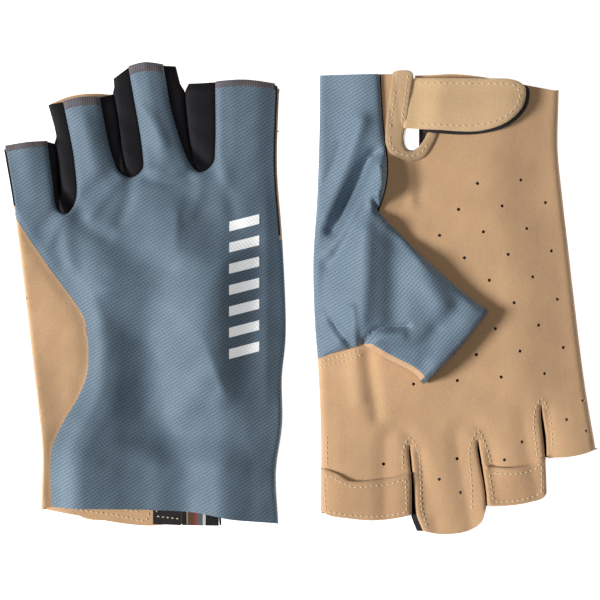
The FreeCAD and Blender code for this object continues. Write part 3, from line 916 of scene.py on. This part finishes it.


# Painted light and shade: both gloves' knit is one cloth, but the left copy is coloured darker and the
# right one (with its thumb) lighter, for how light falls on each glove. The last colour of each knit is
# the painted shade in its pores.
KNIT = {"left": knit("knit_blue_left", srgb(117, 137, 152), srgb(95, 115, 131), srgb(38, 53, 68)),
        "right": knit("knit_blue_right", srgb(124, 144, 160), srgb(101, 122, 139), srgb(41, 56, 72))}
KNIT_THUMB = knit("knit_blue_thumb", srgb(125, 145, 160), srgb(102, 122, 139), srgb(41, 56, 72),
                  THUMB_TURN)
LINING = knit("knit_lining", srgb(225, 226, 226), srgb(212, 214, 216), srgb(150, 152, 156))
SUEDE = suede("suede_tan", srgb(203, 164, 124))
SUEDE_STRAP = suede("suede_strap", srgb(212, 178, 136))
SUEDE_FACING = suede("suede_facing", srgb(186, 155, 119))
SUEDE_TAB = suede("suede_tab", srgb(196, 157, 118))
STRETCH = stretch("stretch_black", srgb(17, 14, 20))
TAPE = tape("tape_black", srgb(34, 30, 32))
HEM = hem_cloth("hem_grey", srgb(100, 100, 110), srgb(104, 92, 90))
HEM_BLUE = hem_cloth("hem_blue_grey", srgb(92, 102, 116), srgb(82, 90, 102))
THREAD = yarn("thread_cream", srgb(226, 204, 168))
# Painted glow: the white print gives off a little light of its own, to look brighter than its lighting.
PRINT = printed("print_white", srgb(250, 250, 250), 0.22)
LABEL = label_weave("label_weave")
# Painted glow: the white backing behind the keyhole gives off light of its own, to stay bright in the
# keyhole's shade.
BACKING = printed("backing_white", srgb(254, 254, 254), 0.35)


# ---- making pieces -------------------------------------------------------------
def settle(glove, piece, slot, stands_for=(), rides=None, bends=None):
    """Hides the CAD nodes a piece stands for, and hangs it on the body it rides with, or else bakes it in
    place. slot is not used.
    """
    if stands_for:
        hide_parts(*(f"{glove.side}_{node}" for node in stands_for))
    if rides:
        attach(piece, f"{glove.side}_{rides}")
    else:
        glove.bends(piece, bends)


def panel(glove, name, skins, thickness, material, lining=None):
    """A closed sheet sewn from several skins, with its own colour on the inside if asked."""
    points, faces, plan = merged(skins)
    inner = len(points)
    points, sides, plan = thick(points, faces, plan, thickness)
    piece = make(glove.name(name), points, sides, plan, material)
    if lining:
        piece.data.materials.append(lining)
        for polygon in piece.data.polygons:
            if min(polygon.vertices) >= inner:
                polygon.material_index = 1
    return piece


def slab(glove, name, ring, height, thickness, material, soft):
    """A flat piece whose outer face follows height(p), with edges that drop by soft."""
    cut = Cut(ring, spacing=1.1, margins=(0.25, 0.6, 1.1))
    near = distance(cut.points, closed(cut.ring))
    out = glove.outward("palm")
    top = glove.place(cut.points, height(cut.points) - out * soft * (1 - edge_round(near, 1.1)))
    faces = cut.faces if out > 0 else cut.faces[:, ::-1]
    points, sides, plan = thick(top, faces, cut.points, thickness)
    points[len(top):, 0:2] = top[:, 0:2]
    points[len(top):, 2] = height(cut.points) - out * thickness
    return make(glove.name(name), points, sides, plan, material)


def tube(rows, plan, turned=False):
    """A closed solid along rows of equal length; turned splits its sides on the other diagonal."""
    points, quads, places = lofted(np.swapaxes(rows, 0, 1), np.swapaxes(plan, 0, 1), closed=True)
    if turned:
        quads = [q[::-1] for q in quads]
    count = len(rows)
    quads.append(list(range(count)))
    quads.append(list(range(len(points) - count, len(points)))[::-1])
    return points, quads, places


def swept(glove, line, inward, profile, height):
    """A solid of the given profile (distance inward, lift) along a plan line."""
    plan = [line + inward * t for t, _ in profile]
    rows = [glove.place(p, height(line + inward * max(t, 0.05)) + lift)
            for p, (t, lift) in zip(plan, profile)]
    return tube(rows, plan, turned=True)


def piping(glove, name, line, height, radius=0.4, lift=0.0):
    """A thin raised line of black trim along a plan line."""
    z = height(line) + lift
    angles = np.arange(6) * math.pi / 3
    plan = [line + sideways(line) * math.cos(a) * radius for a in angles]
    rows = [glove.place(p, z + math.sin(a) * radius) for p, a in zip(plan, angles)]
    return small(glove, name, tube(rows, plan), STRETCH)


def small(glove, name, solid, material, sharp=80):
    """A small closed solid, with its faces turned outwards."""
    piece = make(glove.name(name), *solid, material, sharp=sharp)
    bm = bmesh.new()
    bm.from_mesh(piece.data)
    bmesh.ops.recalc_face_normals(bm, faces=bm.faces)
    bm.to_mesh(piece.data)
    bm.free()
    return piece


# One stitch: places along it, its girth there and its rise, as parts of its half sizes.
STITCH_SHAPE = [(-1, 0.25, -1.1), (-0.8, 0.75, -0.25), (-0.35, 1, 0.25), (0.35, 1, 0.25),
                (0.8, 0.75, -0.25), (1, 0.25, -1.1)]
STITCH_WIDE = 0.5


def stitches(glove, name, rows, height, face, pitch, long, seed):
    """Separate short stitches along plan lines, as one piece."""
    rng = np.random.default_rng(seed)
    out = glove.outward(face)
    points, quads, plan = [], [], []
    for at, heading in (spot for row in rows for spot in zip(*along(row, pitch))):
        turn = rng.normal(0, 0.05)
        h = np.array([heading[0] - heading[1] * turn, heading[1] + heading[0] * turn])
        across = np.array([-h[1], h[0]])
        size = long / 2 * rng.uniform(0.92, 1.06)
        ends = height(np.array([at - h * size, at, at + h * size]))
        first = len(points)
        for t, girth, bob in STITCH_SHAPE:
            z = np.interp(t, [-1, 0, 1], ends) + out * bob * STITCH_WIDE * 0.5
            for a in np.arange(6) * math.pi / 3:
                q = at + h * size * t + across * math.cos(a) * STITCH_WIDE / 2 * girth
                round_z = z + math.sin(a) * STITCH_WIDE * 0.42 * girth
                points.append(glove.place(q[None], np.array([round_z]))[0])
                plan.append(q + np.array([math.sin(a) * 0.1, 0]))
        for i in range(len(STITCH_SHAPE) - 1):
            for j in range(6):
                a, b = first + i * 6 + j, first + i * 6 + (j + 1) % 6
                quads.append([a, b, b + 6, a + 6])
        last = first + 6 * (len(STITCH_SHAPE) - 1)
        quads.append([first + j for j in range(6)][::-1])
        quads.append([last + j for j in range(6)])
    return small(glove, name, (points, quads, plan), THREAD)


# ---- the back and the palm -----------------------------------------------------
KNIT_THICKNESS = 0.8
SUEDE_THICKNESS = 0.9
SEAM_INSET = 1.0             # how far the suede comes round onto the back of the index finger
LITTLE_INSET = 0.7           # and of the little one
CROTCH_V = 20.9
HOLE_RADIUS = 0.62
KEYHOLE = [(14.9, -68), (10.4, -65), (11.2, -61.2), (13.6, -57.8), (15.6, -56.2),
           (17.8, -56.5), (19.2, -58.8), (19.2, -64), (16.1, -68)]
SLIT_ROWS = [[(19.2, 62), (19.4, 55.4), (16.9, 50), (13.6, 55), (12.8, 66), (12.4, 76), (10.4, 83)],
             [(-6.3, 76.5), (-6, 66), (-5.4, 53.4), (-8.5, 47.6), (-11.3, 53), (-13.4, 59.6)],
             [(-30.4, 57), (-29.2, 41), (-32, 35.4), (-34.8, 41), (-36.2, 55.5)]]
# The palm's holes stand on slanting lines: where the first one is, the step to the next
# line, the step along a line, and which places on each line have a hole.
HOLE_START = np.array([-8.1, -44.2])
HOLE_LINE_STEP = np.array([7.0, 9.6])
HOLE_STEP = np.array([-16.2, -1.3])
WRAP_HOLE = (-43.9, -0.4)
PERFORATIONS = {0: (0, 1), 1: (0, 1, 2), 2: (0, 1, 2), 3: (1, 2, 3), 4: (2, 3, 4), 5: (3, 4),
                6: (3, 4), 7: (3, 4, 5), 8: (2, 3, 4, 5)}
FINGER_PERFORATIONS = [(-47.4, 36.2), (-41.3, 43.2), (-48.7, 47.4), (-24.8, 51.5), (-18.2, 58.1),
                       (-0.7, 57.7), (5.9, 65.3), (-2, 70.2), (26.5, 59.7)]


def perforations():
    a = np.linspace(0, 2 * math.pi, 10, endpoint=False)
    rim = HOLE_RADIUS * np.stack([np.cos(a), np.sin(a)], 1)
    places = list(FINGER_PERFORATIONS)
    for i, across in PERFORATIONS.items():
        places += [HOLE_START + HOLE_LINE_STEP * i + HOLE_STEP * j for j in across]
    return [rim + place for place in places], rim + WRAP_HOLE


def finger_ends(ends, gaps):
    """The outline over the fingertips, down into each gap and up again."""
    runs = []
    for k, end in enumerate(ends):
        runs.append(smooth(end))
        if k < 3:
            runs.append(smooth_gap(gaps[k]))
    return runs


def back_ring(glove):
    side = part_of(glove.thumb_side, -90, CROTCH_V)
    ends = glove.back_ends
    inset = part_of(offset(glove.thumb_side, SEAM_INSET), CROTCH_V + 1.5, ends[0][0][1] - 0.4)
    little = part_of(offset(LITTLE_S, LITTLE_INSET), 31.5, ends[3][2][1] - 0.4)
    return loop(smooth(BACK_CUFF), side, inset, *finger_ends(ends, glove.back_gaps), little,
                smooth(WRAP_EDGE))


def build_back(glove):
    """The blue back with the strip that comes round onto the palm beside the thumb."""
    main = Cut(back_ring(glove))
    side = part_of(glove.thumb_side, -90, CROTCH_V)
    cuff = STRIP_CUFF[glove.side]
    edge = part_of(smooth(STRIP_EDGE), cuff[0][1], 0)
    strip = Cut(loop(side, smooth(CROTCH_SEAM)[::-1], straight(THUMB_BASE)[::-1],
                     edge[::-1], straight(cuff)), spacing=1.0)
    skins = [glove.skin("back", main), glove.skin("palm", strip, glove.blue)]
    piece = panel(glove, "back", skins, KNIT_THICKNESS, KNIT[glove.side], LINING)
    settle(glove, piece, "knit_blue", ("back_panel", "finger_backs"), bends="fingers")


def palm_ring(glove):
    facing_cuff = FACING_CUFF[glove.side]
    return loop(smooth(PALM_CUFF), straight([(14.9, -84.2), (14.9, -68)]), smooth(KEYHOLE),
                straight([(16.1, -68), facing_cuff[0]]), straight(facing_cuff),
                part_of(smooth(STRIP_EDGE), facing_cuff[1][1], 0), straight(THUMB_BASE),
                smooth(CROTCH_SEAM), part_of(glove.thumb_side, CROTCH_V, glove.ends[0][0][1]),
                *finger_ends(glove.ends, glove.slits), LITTLE_S)


def build_palm(glove):
    """The suede palm, with the part that comes round the little finger's side."""
    rows = [offset(line, by) for line in curves(SLIT_ROWS) for by in (-0.7, 0, 0.7)]
    holes, wrap_hole = perforations()
    wrap = loop(LITTLE_S[LITTLE_S[:, 1] < 30.4], straight([(-38.7, -78.4), (-34.6, -77.9)]),
                smooth(WRAP_EDGE)[::-1])
    skins = [glove.skin("palm", Cut(palm_ring(glove), holes, rows=rows)),
             glove.skin("back", Cut(wrap, [wrap_hole]))]
    little = LITTLE_S[(LITTLE_S[:, 1] > 30) & (LITTLE_S[:, 1] < 54.7)]
    for side, inset in ((part_of(glove.thumb_side, CROTCH_V, 78), SEAM_INSET), (little, LITTLE_INSET)):
        narrow = loop(side, offset(side, inset)[::-1])
        skins.append(glove.skin("back", Cut(narrow, spacing=0.9, margins=(0.35,))))
    piece = panel(glove, "palm", skins, SUEDE_THICKNESS, SUEDE)
    settle(glove, piece, "suede_tan", ("palm_panel", "finger_palms"), bends="fingers")


# ---- the fingers ---------------------------------------------------------------
FOURCHETTES = ("index_middle_fourchette", "middle_ring_fourchette", "ring_little_fourchette")
SIDE_COUNT = 46              # places along each side of a stretch strip


def build_fourchette(glove, k):
    """The stretch strip down one finger's side and up the next one's."""
    def halves(gap):
        curve = smooth_gap(gap)
        root = int(np.argmin(np.linalg.norm(curve - np.array(gap[3]), axis=1)))
        return np.vstack([resample(curve[:root + 1], SIDE_COUNT), resample(curve[root:], SIDE_COUNT)[1:]])

    outer = halves(glove.back_gaps[k])
    inner = halves(glove.slits[k])
    across = np.vstack([nearest(inner[:SIDE_COUNT], inner[SIDE_COUNT - 1:]),
                        nearest(inner[SIDE_COUNT:], inner[:SIDE_COUNT])])
    width = np.linalg.norm(across - inner, axis=1)
    close = 0.53 * (1 - ramp((width - 1.8) / 1.5))
    meet = inner + (across - inner) * close[:, None]
    if glove.side == "right" and k == 0:
        meet[:, 0] += 2.2 * ramp((inner[:, 1] - 77) / 4) * (np.arange(len(inner)) > SIDE_COUNT)
    out = glove.outward("back")
    z_outer = glove.height("back", outer) - 0.45 * out
    z_inner = glove.height("palm", inner) + 0.5 * out
    z_meet = z_inner + (0.2 if glove.side == "left" else 1.3) * out
    away = offset(outer, 0.9)
    rows, plan = [glove.place(away, z_outer - 0.55 * out)], [away]
    for t in np.linspace(0, math.pi / 2, 10):
        plan.append(outer + (meet - outer) * math.sin(t))
        rows.append(glove.place(plan[-1], z_outer + (z_meet - z_outer) * (1 - math.cos(t))))
    for t in (0.33, 0.66, 1.0):
        plan.append(meet + (inner - meet) * t)
        rows.append(glove.place(plan[-1], z_meet + (z_inner - z_meet) * t))
    points, quads, places = lofted(rows, plan)
    faces = triangles(quads)
    if vertex_normals(points, faces)[:, 2].mean() * out < 0:
        faces = faces[:, ::-1]
    points, sides, places = thick(points, faces, places, 0.6)
    piece = make(glove.name(FOURCHETTES[k]), points, sides, places, STRETCH)
    settle(glove, piece, "stretch_black", (FOURCHETTES[k],), bends="fingers")


# A rolled hem seen from its end: how far in from the edge, and how high.
HEM_PROFILE = [(2.8, -0.05), (2.75, 0.34), (2.3, 0.46), (1.4, 0.5), (0.4, 0.45), (-0.25, 0.15),
               (-0.5, -0.4), (-0.3, -0.95), (0.3, -1.25), (1.7, -1.25), (1.75, -0.85),
               (0.15, -0.75), (0.1, -0.1)]
HEM_WIDTHS = {"index": 0.75, "middle": 1.0, "ring": 1.0, "little": 0.7}


def build_hems(glove):
    out = glove.outward("back")
    for end, (finger, wide) in zip(glove.back_ends, HEM_WIDTHS.items()):
        line = resample(smooth(end, 0.6), 40)
        profile = [(t * wide, lift * out) for t, lift in HEM_PROFILE]
        solid = swept(glove, line, sideways(line), profile, glove.above("back"))
        piece = small(glove, finger + "_hem", solid, HEM)
        settle(glove, piece, "hem_grey", (finger + "_hem",), rides="fingers")


INDEX_TAB = [(49.9, 61.2), (47.5, 61.6), (43.1, 63.3), (39.8, 65.4), (37.2, 66), (30.2, 65.5),
             (23.9, 64.5), (17.6, 62.9), (16.2, 62.8)]
RING_TAB = [(-11.6, 60.2), (-15.3, 60.7), (-20.6, 60.9), (-25.9, 60.3), (-29.1, 59.3),
            (-31, 57.2), (-33.2, 56.9)]


def build_tab(glove, finger):
    """A doubled suede pull tab over a fingertip, open towards the wrist."""
    first_slit = smooth_gap(glove.slits[0 if finger == "index" else 1])
    if finger == "index":
        top, ends = smooth(INDEX_TAB), glove.ends[0]
        start = part_of(glove.thumb_side, 61.6, ends[0][1])
        stop = part_of(first_slit[:25], 63.2, ends[-1][1])
    else:
        top, ends = smooth(RING_TAB), glove.ends[2]
        start = part_of(first_slit[len(first_slit) // 2:], 60.6, ends[0][1])
        stop = part_of(smooth_gap(glove.slits[2])[:40], 57.4, ends[-1][1])
    ring = loop(top[::-1], start, smooth(ends), stop)
    centre = top.mean(0)
    out = glove.outward("palm")

    def height(p):
        gape = np.exp(-(distance(p, top) / 4.0) ** 2) * np.exp(-((p[:, 0] - centre[0]) / 9) ** 2)
        puff = 0.35 * ramp(np.minimum(distance(p, closed(ring)), 5) / 5)
        return glove.height("palm", p) + out * (1.25 + puff + 0.9 * gape)

    piece = slab(glove, finger + "_pull_tab", ring, height, 1.15, SUEDE_TAB, soft=0.8)
    settle(glove, piece, "suede_tan", (finger + "_pull_tab",), rides="fingers")
    return height


# ---- the thumb -----------------------------------------------------------------
THUMB_INSET = 1.9            # how far the suede comes round onto the thumb's blue side
THUMB_SUEDE = 0.7
THUMB_HEM_WIDTH = 0.55


def build_thumb(glove):
    """The blue upper side, the suede under it, and the narrow hem of its open end."""
    base = straight(THUMB_BASE)
    upper, end, lower = (smooth(line) for line in (THUMB_UPPER, THUMB_END, THUMB_LOWER))
    inset = offset(lower, -THUMB_INSET)[2:-3]
    blue = Cut(loop(base, inset[::-1], end[::-1], upper[::-1]), spacing=0.95)
    skin = thick(*glove.skin("palm", blue, glove.blue), KNIT_THICKNESS)
    piece = make(glove.name("thumb_back"), *skin, KNIT_THUMB)
    settle(glove, piece, "knit_blue", ("thumb_back",), bends="thumb")

    under = Cut(loop(base, lower[::-1], end[::-1], upper[::-1]), spacing=1.3)
    edge = Cut(loop(lower, inset[::-1]), spacing=0.9, margins=(0.35,))
    points, faces, plan = glove.skin("palm", under, glove.under_thumb)
    skins = [(points, faces[:, ::-1], plan), glove.skin("palm", edge, glove.blue)]
    piece = panel(glove, "thumb_palm", skins, THUMB_SUEDE, SUEDE)
    settle(glove, piece, "suede_tan", ("thumb_palm",), bends="thumb")

    line = resample(end, 40)
    out = glove.outward("palm")
    profile = [(t * THUMB_HEM_WIDTH, (0.1 + lift * 0.8) * out) for t, lift in HEM_PROFILE]
    piece = small(glove, "thumb_hem", swept(glove, line, -sideways(line), profile, glove.blue), HEM_BLUE)
    settle(glove, piece, "hem_grey", ("thumb_hem",), rides="thumb")


# ---- the wrist closure ---------------------------------------------------------
HOOK_EDGE = [(12, -63), (-8, -62.4), (-19.5, -65.6), (-26.4, -72.4), (-27.2, -79.5), (-24, -81.4)]
LOOP_EDGE = [(-23, -78.5), (5.5, -80.5), (5.5, -66), (-23, -70)]
FACING_EDGE = [(24.9, -73), (26.1, -63), (25.9, -59), (24.4, -56), (21.5, -53.6), (16.5, -52.2),
               (12, -53.6), (8.6, -58), (6.5, -62.9)]
FACING_HOLE = [(9.4, -64.6), (11.2, -61.2), (13.6, -57.8), (15.6, -56.2), (17.8, -56.5),
               (19.2, -58.8), (19, -63), (18.3, -65.4)]
BACKING_EDGE = [(13.5, -57.9), (15.6, -56.5), (17.7, -56.8), (18.9, -58.8), (18.9, -63.6), (16.4, -66.4)]


def strap_height(glove):
    out = glove.outward("palm")
    middle = np.array([(18, -73.6), (-20, -74)])

    def height(p):
        palm = glove.height("palm", np.stack([p[:, 0], np.clip(p[:, 1], -78, -66)], 1))
        crown = 0.35 * ramp(1 - distance(p, middle) / 9)
        tip = 0.5 * ramp((-p[:, 0] - 8) / 18)
        root = 1.6 * ramp((p[:, 0] - 5) / 11)
        return palm + out * (3.3 + crown + tip - root)

    return height


def facing_height(glove):
    out = glove.outward("palm")

    def height(p):
        seat = np.stack([p[:, 0], np.clip(p[:, 1], -83, 0)], 1)
        lean = p[:, 0] + (p[:, 1] + 66) * 0.13
        over_strap = ramp((-64.5 - p[:, 1]) / 4) * ramp((24 - lean) / 12) * ramp((26 - lean) / 3)
        rows = np.exp(-((lean - 23.4) / 0.5) ** 2) + np.exp(-((lean - 20.1) / 0.5) ** 2)
        sunk = 0.4 * rows * ramp((-64 - p[:, 1]) / 3)
        return glove.height("palm", seat) + out * (1.0 + 2.1 * over_strap - sunk)

    return height


def build_closure(glove, strap, facing):
    """The strap with its hook patch, the loop patch under it, and what lines the wrist slit."""
    low = FACING_LOW[glove.side]
    inner_low = INNER_LOW[glove.side]
    label_start, label_end = LABEL_U
    facing_ring = loop(smooth([(23.4, low + 2)] + FACING_EDGE), smooth(FACING_HOLE),
                       straight([(18.2, -66), (15.6, low + 2.4)]),
                       smooth([(15.6, low + 2.4), (15.9, low + 0.8), (17.4, low), (22, low + 0.1),
                               (23.1, low + 0.7), (23.4, low + 2)]))
    underlay = [(3, inner_low), (13.5, inner_low - 0.4), (13.5, -54.6), (3, -58)]
    label = [(label_start, inner_low - 0.4), (label_end, inner_low - 0.6), (label_end, -72),
             (label_start, -72)]
    # Name, outline, height, thickness, material, how soft its edges are, slot, what it moves with.
    pieces = [
        ("wrist_strap", loop(smooth(STRAP_EDGE), straight([(17.4, -83.2), (19.4, -64.6)])),
         strap, 1.5, SUEDE_STRAP, 0.8, "suede_tan", {"bends": "strap"}),
        ("hook_patch", loop(smooth(HOOK_EDGE), straight([(-24, -81.4), (6, -81.6), (12, -63)])),
         lambda p: strap(p) - glove.outward("palm") * 1.55, 0.75, TAPE, 0.3, "tape_black",
         {"bends": "strap"}),
        ("loop_patch", straight(closed(LOOP_EDGE))[:-1], glove.above("palm", 0.85), 0.8, TAPE, 0.3,
         "tape_black", {"rides": "hand"}),
        ("slit_facing", facing_ring, facing, 0.95, SUEDE_FACING, 0.75, "suede_tan", {"rides": "hand"}),
        ("slit_underlay", straight(closed(underlay))[:-1], glove.above("palm", -1.0), 0.6, TAPE, 0.2,
         "tape_black", {"rides": "hand"}),
        ("size_label", straight(closed(label))[:-1], glove.above("palm", -1.0), 0.5, LABEL, 0.15,
         "label_weave", {"rides": "hand"}),
    ]
    for name, ring, height, thickness, material, soft, slot, moves in pieces:
        piece = slab(glove, name, ring, height, thickness, material, soft)
        settle(glove, piece, slot, (name,), **moves)
    # The white backing behind the keyhole carries a painted glow.
    ring = loop(smooth(BACKING_EDGE), straight([(13.5, -66.4), (13.5, -57.9)]))
    piece = slab(glove, "keyhole_backing", ring, glove.above("palm", 0.1), 0.5, BACKING, 0.1)
    settle(glove, piece, "label_weave", rides="hand")


# ---- stitching and trims -------------------------------------------------------
FACING_ROWS = [[(17.5, -84.6), (19.9, -66.5)], [(21.6, -84.8), (22.7, -76), (24.1, -64.5)],
               [(24.3, -62), (24, -58.4), (21.6, -55.8), (16.5, -54.4), (12.9, -55.6), (10.2, -59)]]
CROTCH_ROWS = [[(35, 17.2), (38.3, 18.5), (47, 20.9), (50.5, 22.2)],
               [(34.4, 19), (37.9, 20.4), (46.6, 22.8), (50.3, 24.2)]]
INDEX_OUTER_ROWS = [[(47.6, 49), (47.4, 60.5)]]
INDEX_TAB_ROWS = [
    [(48, 76.6), (47.7, 63.9), (43, 65.9), (38, 68), (30.2, 67.7), (24, 66.8), (18.2, 65.2)],
    [(18.4, 65.2), (18, 77)],
    [(47.4, 77.2), (40, 78.3), (31, 79), (23, 78.4), (18, 77.4)],
]
RING_TAB_ROWS = [[(-14, 62.9), (-20.6, 63.2), (-26, 62.6), (-30, 61.2), (-31.6, 59)],
                 [(-12.6, 63), (-14, 72), (-14.2, 73.4)],
                 [(-14.6, 73.6), (-20.5, 73.4), (-26.5, 72.4), (-31.6, 70.6)],
                 [(-31.9, 60), (-32, 70.4)]]
UNDERLAY_ROWS = [[(4.2, -81.2), (13, -82.2)], [(4.4, -80), (4.4, -70)]]
CUFF_ROWS = [[(-28, -78.4), (-12, -80.6), (0.5, -82.6), (1.4, -80.5), (1, -72)],
             [(-28, -76), (-12, -78), (-2, -79.6)]]
STRAP_ROWS = [[(14, -81.4), (-6, -81), (-21.6, -80.4), (-23.6, -78), (-23, -73.8), (-18.6, -69),
               (-9, -65.8), (14, -66.1)]]


def build_stitching(glove, strap, facing, tabs):
    palm = glove.above("palm")
    facing_rows = [part_of(line, FACING_ROWS_LOW[glove.side], 0) for line in curves(FACING_ROWS)]
    # Name, rows, what they lie on, its face, pitch, length, seed, CAD node, what they move with.
    pieces = [
        ("slit_stitching", curves(SLIT_ROWS), palm, "palm", 2.0, 1.35, 11,
         ("slit_stitching",), {"bends": "fingers"}),
        ("index_side_stitching", curves(INDEX_OUTER_ROWS), palm, "palm", 2.0, 1.35, 12,
         (), {"rides": "fingers"}),
        ("index_tab_stitching", curves(INDEX_TAB_ROWS), tabs[0], "palm", 2.0, 1.35, 13,
         ("tab_stitching",), {"rides": "fingers"}),
        ("ring_tab_stitching", curves(RING_TAB_ROWS), tabs[1], "palm", 2.0, 1.35, 14,
         ("tab_stitching",), {"rides": "fingers"}),
        ("crotch_stitching", curves(CROTCH_ROWS), palm, "palm", 1.7, 1.15, 15,
         ("crotch_stitching",), {"bends": "fingers"}),
        ("facing_stitching", facing_rows, facing, "palm", 2.1, 1.35, 16,
         ("facing_stitching",), {"rides": "hand"}),
        ("underlay_stitching", curves(UNDERLAY_ROWS), glove.above("palm", -1.62), "back", 1.8, 1.1, 18,
         (), {"rides": "hand"}),
        ("cuff_inner_stitching", curves(CUFF_ROWS), glove.above("palm", -0.95), "back", 1.9, 1.2, 19,
         (), {"rides": "hand"}),
        ("strap_stitching", curves(STRAP_ROWS), strap, "palm", 2.3, 1.5, 17,
         ("strap_stitching",), {"bends": "strap"}),
    ]
    for name, rows, height, face, pitch, long, seed, nodes, moves in pieces:
        piece = stitches(glove, name, rows, height, face, pitch, long, seed)
        settle(glove, piece, "thread_cream", nodes, **moves)


def build_trims(glove):
    """The dark seams down the hand's two sides and beside the strip on the palm."""
    back = glove.above("back")
    lift = 0.05 * glove.outward("back")
    index = part_of(offset(glove.thumb_side, SEAM_INSET), CROTCH_V + 2, 78.4)
    little = part_of(offset(LITTLE_S, LITTLE_INSET), 33, 55)
    for name, line in (("index_side_seam", index), ("little_side_seam", little)):
        piece = piping(glove, name, line, back, lift=lift)
        settle(glove, piece, "stretch_black", bends="fingers")
    piece = piping(glove, "strip_seam", smooth(STRIP_EDGE), glove.blue)
    settle(glove, piece, "stretch_black", rides="hand")


MARK_BARS = 7
MARK_U = (31.4, 42.4)
MARK_V = (-23.5, 31.5)
MARK_STEPS = (14, 5)         # how finely a bar is divided along u and v
MARK_SLANT = 0.36            # how far a bar rises across its length, in pitches
MARK_WIDE = 0.46


def build_mark(glove):
    """A plain column of slanted bars in place of a printed word."""
    steps_u, steps_v = MARK_STEPS
    wide = steps_v + 1
    count = (steps_u + 1) * wide
    pitch = (MARK_V[1] - MARK_V[0]) / MARK_BARS
    rim = ([(i, 0) for i in range(steps_u)] + [(steps_u, j) for j in range(steps_v)]
           + [(i, steps_v) for i in range(steps_u, 0, -1)] + [(0, j) for j in range(steps_v, 0, -1)])
    plan, lift, quads = [], [], []
    for k in range(MARK_BARS):
        first = len(plan)
        for face in (0.14, -0.2):
            for i in range(steps_u + 1):
                for j in range(steps_v + 1):
                    rise = 0.08 + MARK_SLANT * i / steps_u + MARK_WIDE * j / steps_v
                    plan.append((MARK_U[0] + (MARK_U[1] - MARK_U[0]) * i / steps_u,
                                 MARK_V[0] + k * pitch + pitch * rise))
                    lift.append(face)
        for i in range(steps_u):
            for j in range(steps_v):
                a = first + i * wide + j
                quads.append([a, a + wide, a + wide + 1, a + 1])
                quads.append([a + count, a + count + 1, a + count + wide + 1, a + count + wide])
        ids = [first + i * wide + j for i, j in rim]
        quads += [[b, a, a + count, b + count] for a, b in zip(ids, ids[1:] + ids[:1])]
    plan = np.array(plan)
    spots = glove.place(plan, glove.height("back", plan) + np.array(lift) * glove.outward("back"))
    # The bars' material carries a painted glow.
    piece = small(glove, "back_mark", (spots, quads, plan), PRINT, sharp=50)
    settle(glove, piece, "thread_cream", bends="fingers")


# ---- building the pair ---------------------------------------------------------
def build(side):
    glove = Glove(side)
    strap, facing = strap_height(glove), facing_height(glove)
    build_back(glove)
    build_palm(glove)
    for k in range(len(FOURCHETTES)):
        build_fourchette(glove, k)
    build_hems(glove)
    tabs = [build_tab(glove, finger) for finger in ("index", "ring")]
    build_thumb(glove)
    build_closure(glove, strap, facing)
    build_stitching(glove, strap, facing, tabs)
    build_trims(glove)
    if side == "left":
        build_mark(glove)


build("left")
build("right")


# ---- floor, light and camera ---------------------------------------------------
VIEW_WIDTH = 0.222           # how much of the table the camera sees
LENS = 200
SENSOR = 36
PAIR_MIDDLE = 0.008          # the height that the view is framed at


def area_light(name, at, size, power):
    light = bpy.data.lights.new(name, "AREA")
    light.shape = "DISK"
    light.size = size
    light.energy = power
    lamp = bpy.data.objects.new(name, light)
    lamp.location = at
    lamp.rotation_euler = Vector(at).to_track_quat("Z", "Y").to_euler()
    bpy.context.scene.collection.objects.link(lamp)


def floor():
    bpy.ops.mesh.primitive_plane_add(size=4, location=(0, 0, 0))
    plane = bpy.context.object
    plane.name = "floor"
    material = bpy.data.materials.new("floor_white")
    material.use_nodes = True
    surface = material.node_tree.nodes["Principled BSDF"].inputs
    surface["Base Color"].default_value = (0.9, 0.9, 0.9, 1)
    surface["Roughness"].default_value = 0.9
    surface["Specular IOR Level"].default_value = 0.0
    surface["Emission Color"].default_value = (1, 1, 1, 1)
    surface["Emission Strength"].default_value = 0.8
    plane.data.materials.append(material)


def camera():
    lens = bpy.data.cameras.new("camera")
    lens.lens = LENS
    lens.sensor_width = SENSOR
    eye = bpy.data.objects.new("camera", lens)
    eye.location = (0, 0, VIEW_WIDTH * LENS / SENSOR + PAIR_MIDDLE)
    bpy.context.scene.collection.objects.link(eye)
    bpy.context.scene.camera = eye


def studio():
    world = bpy.data.worlds.new("studio")
    world.use_nodes = True
    background = world.node_tree.nodes["Background"].inputs
    background[0].default_value = (1, 1, 1, 1)
    background[1].default_value = 0.105
    bpy.context.scene.world = world
    bpy.context.scene.view_settings.view_transform = "Standard"
    area_light("key", (-4.9, -0.9, 3.24), 1.8, 462.0)
    area_light("fill", (0.3, 0.2, 2.2), 1.2, 8.0)


studio()
floor()
camera()
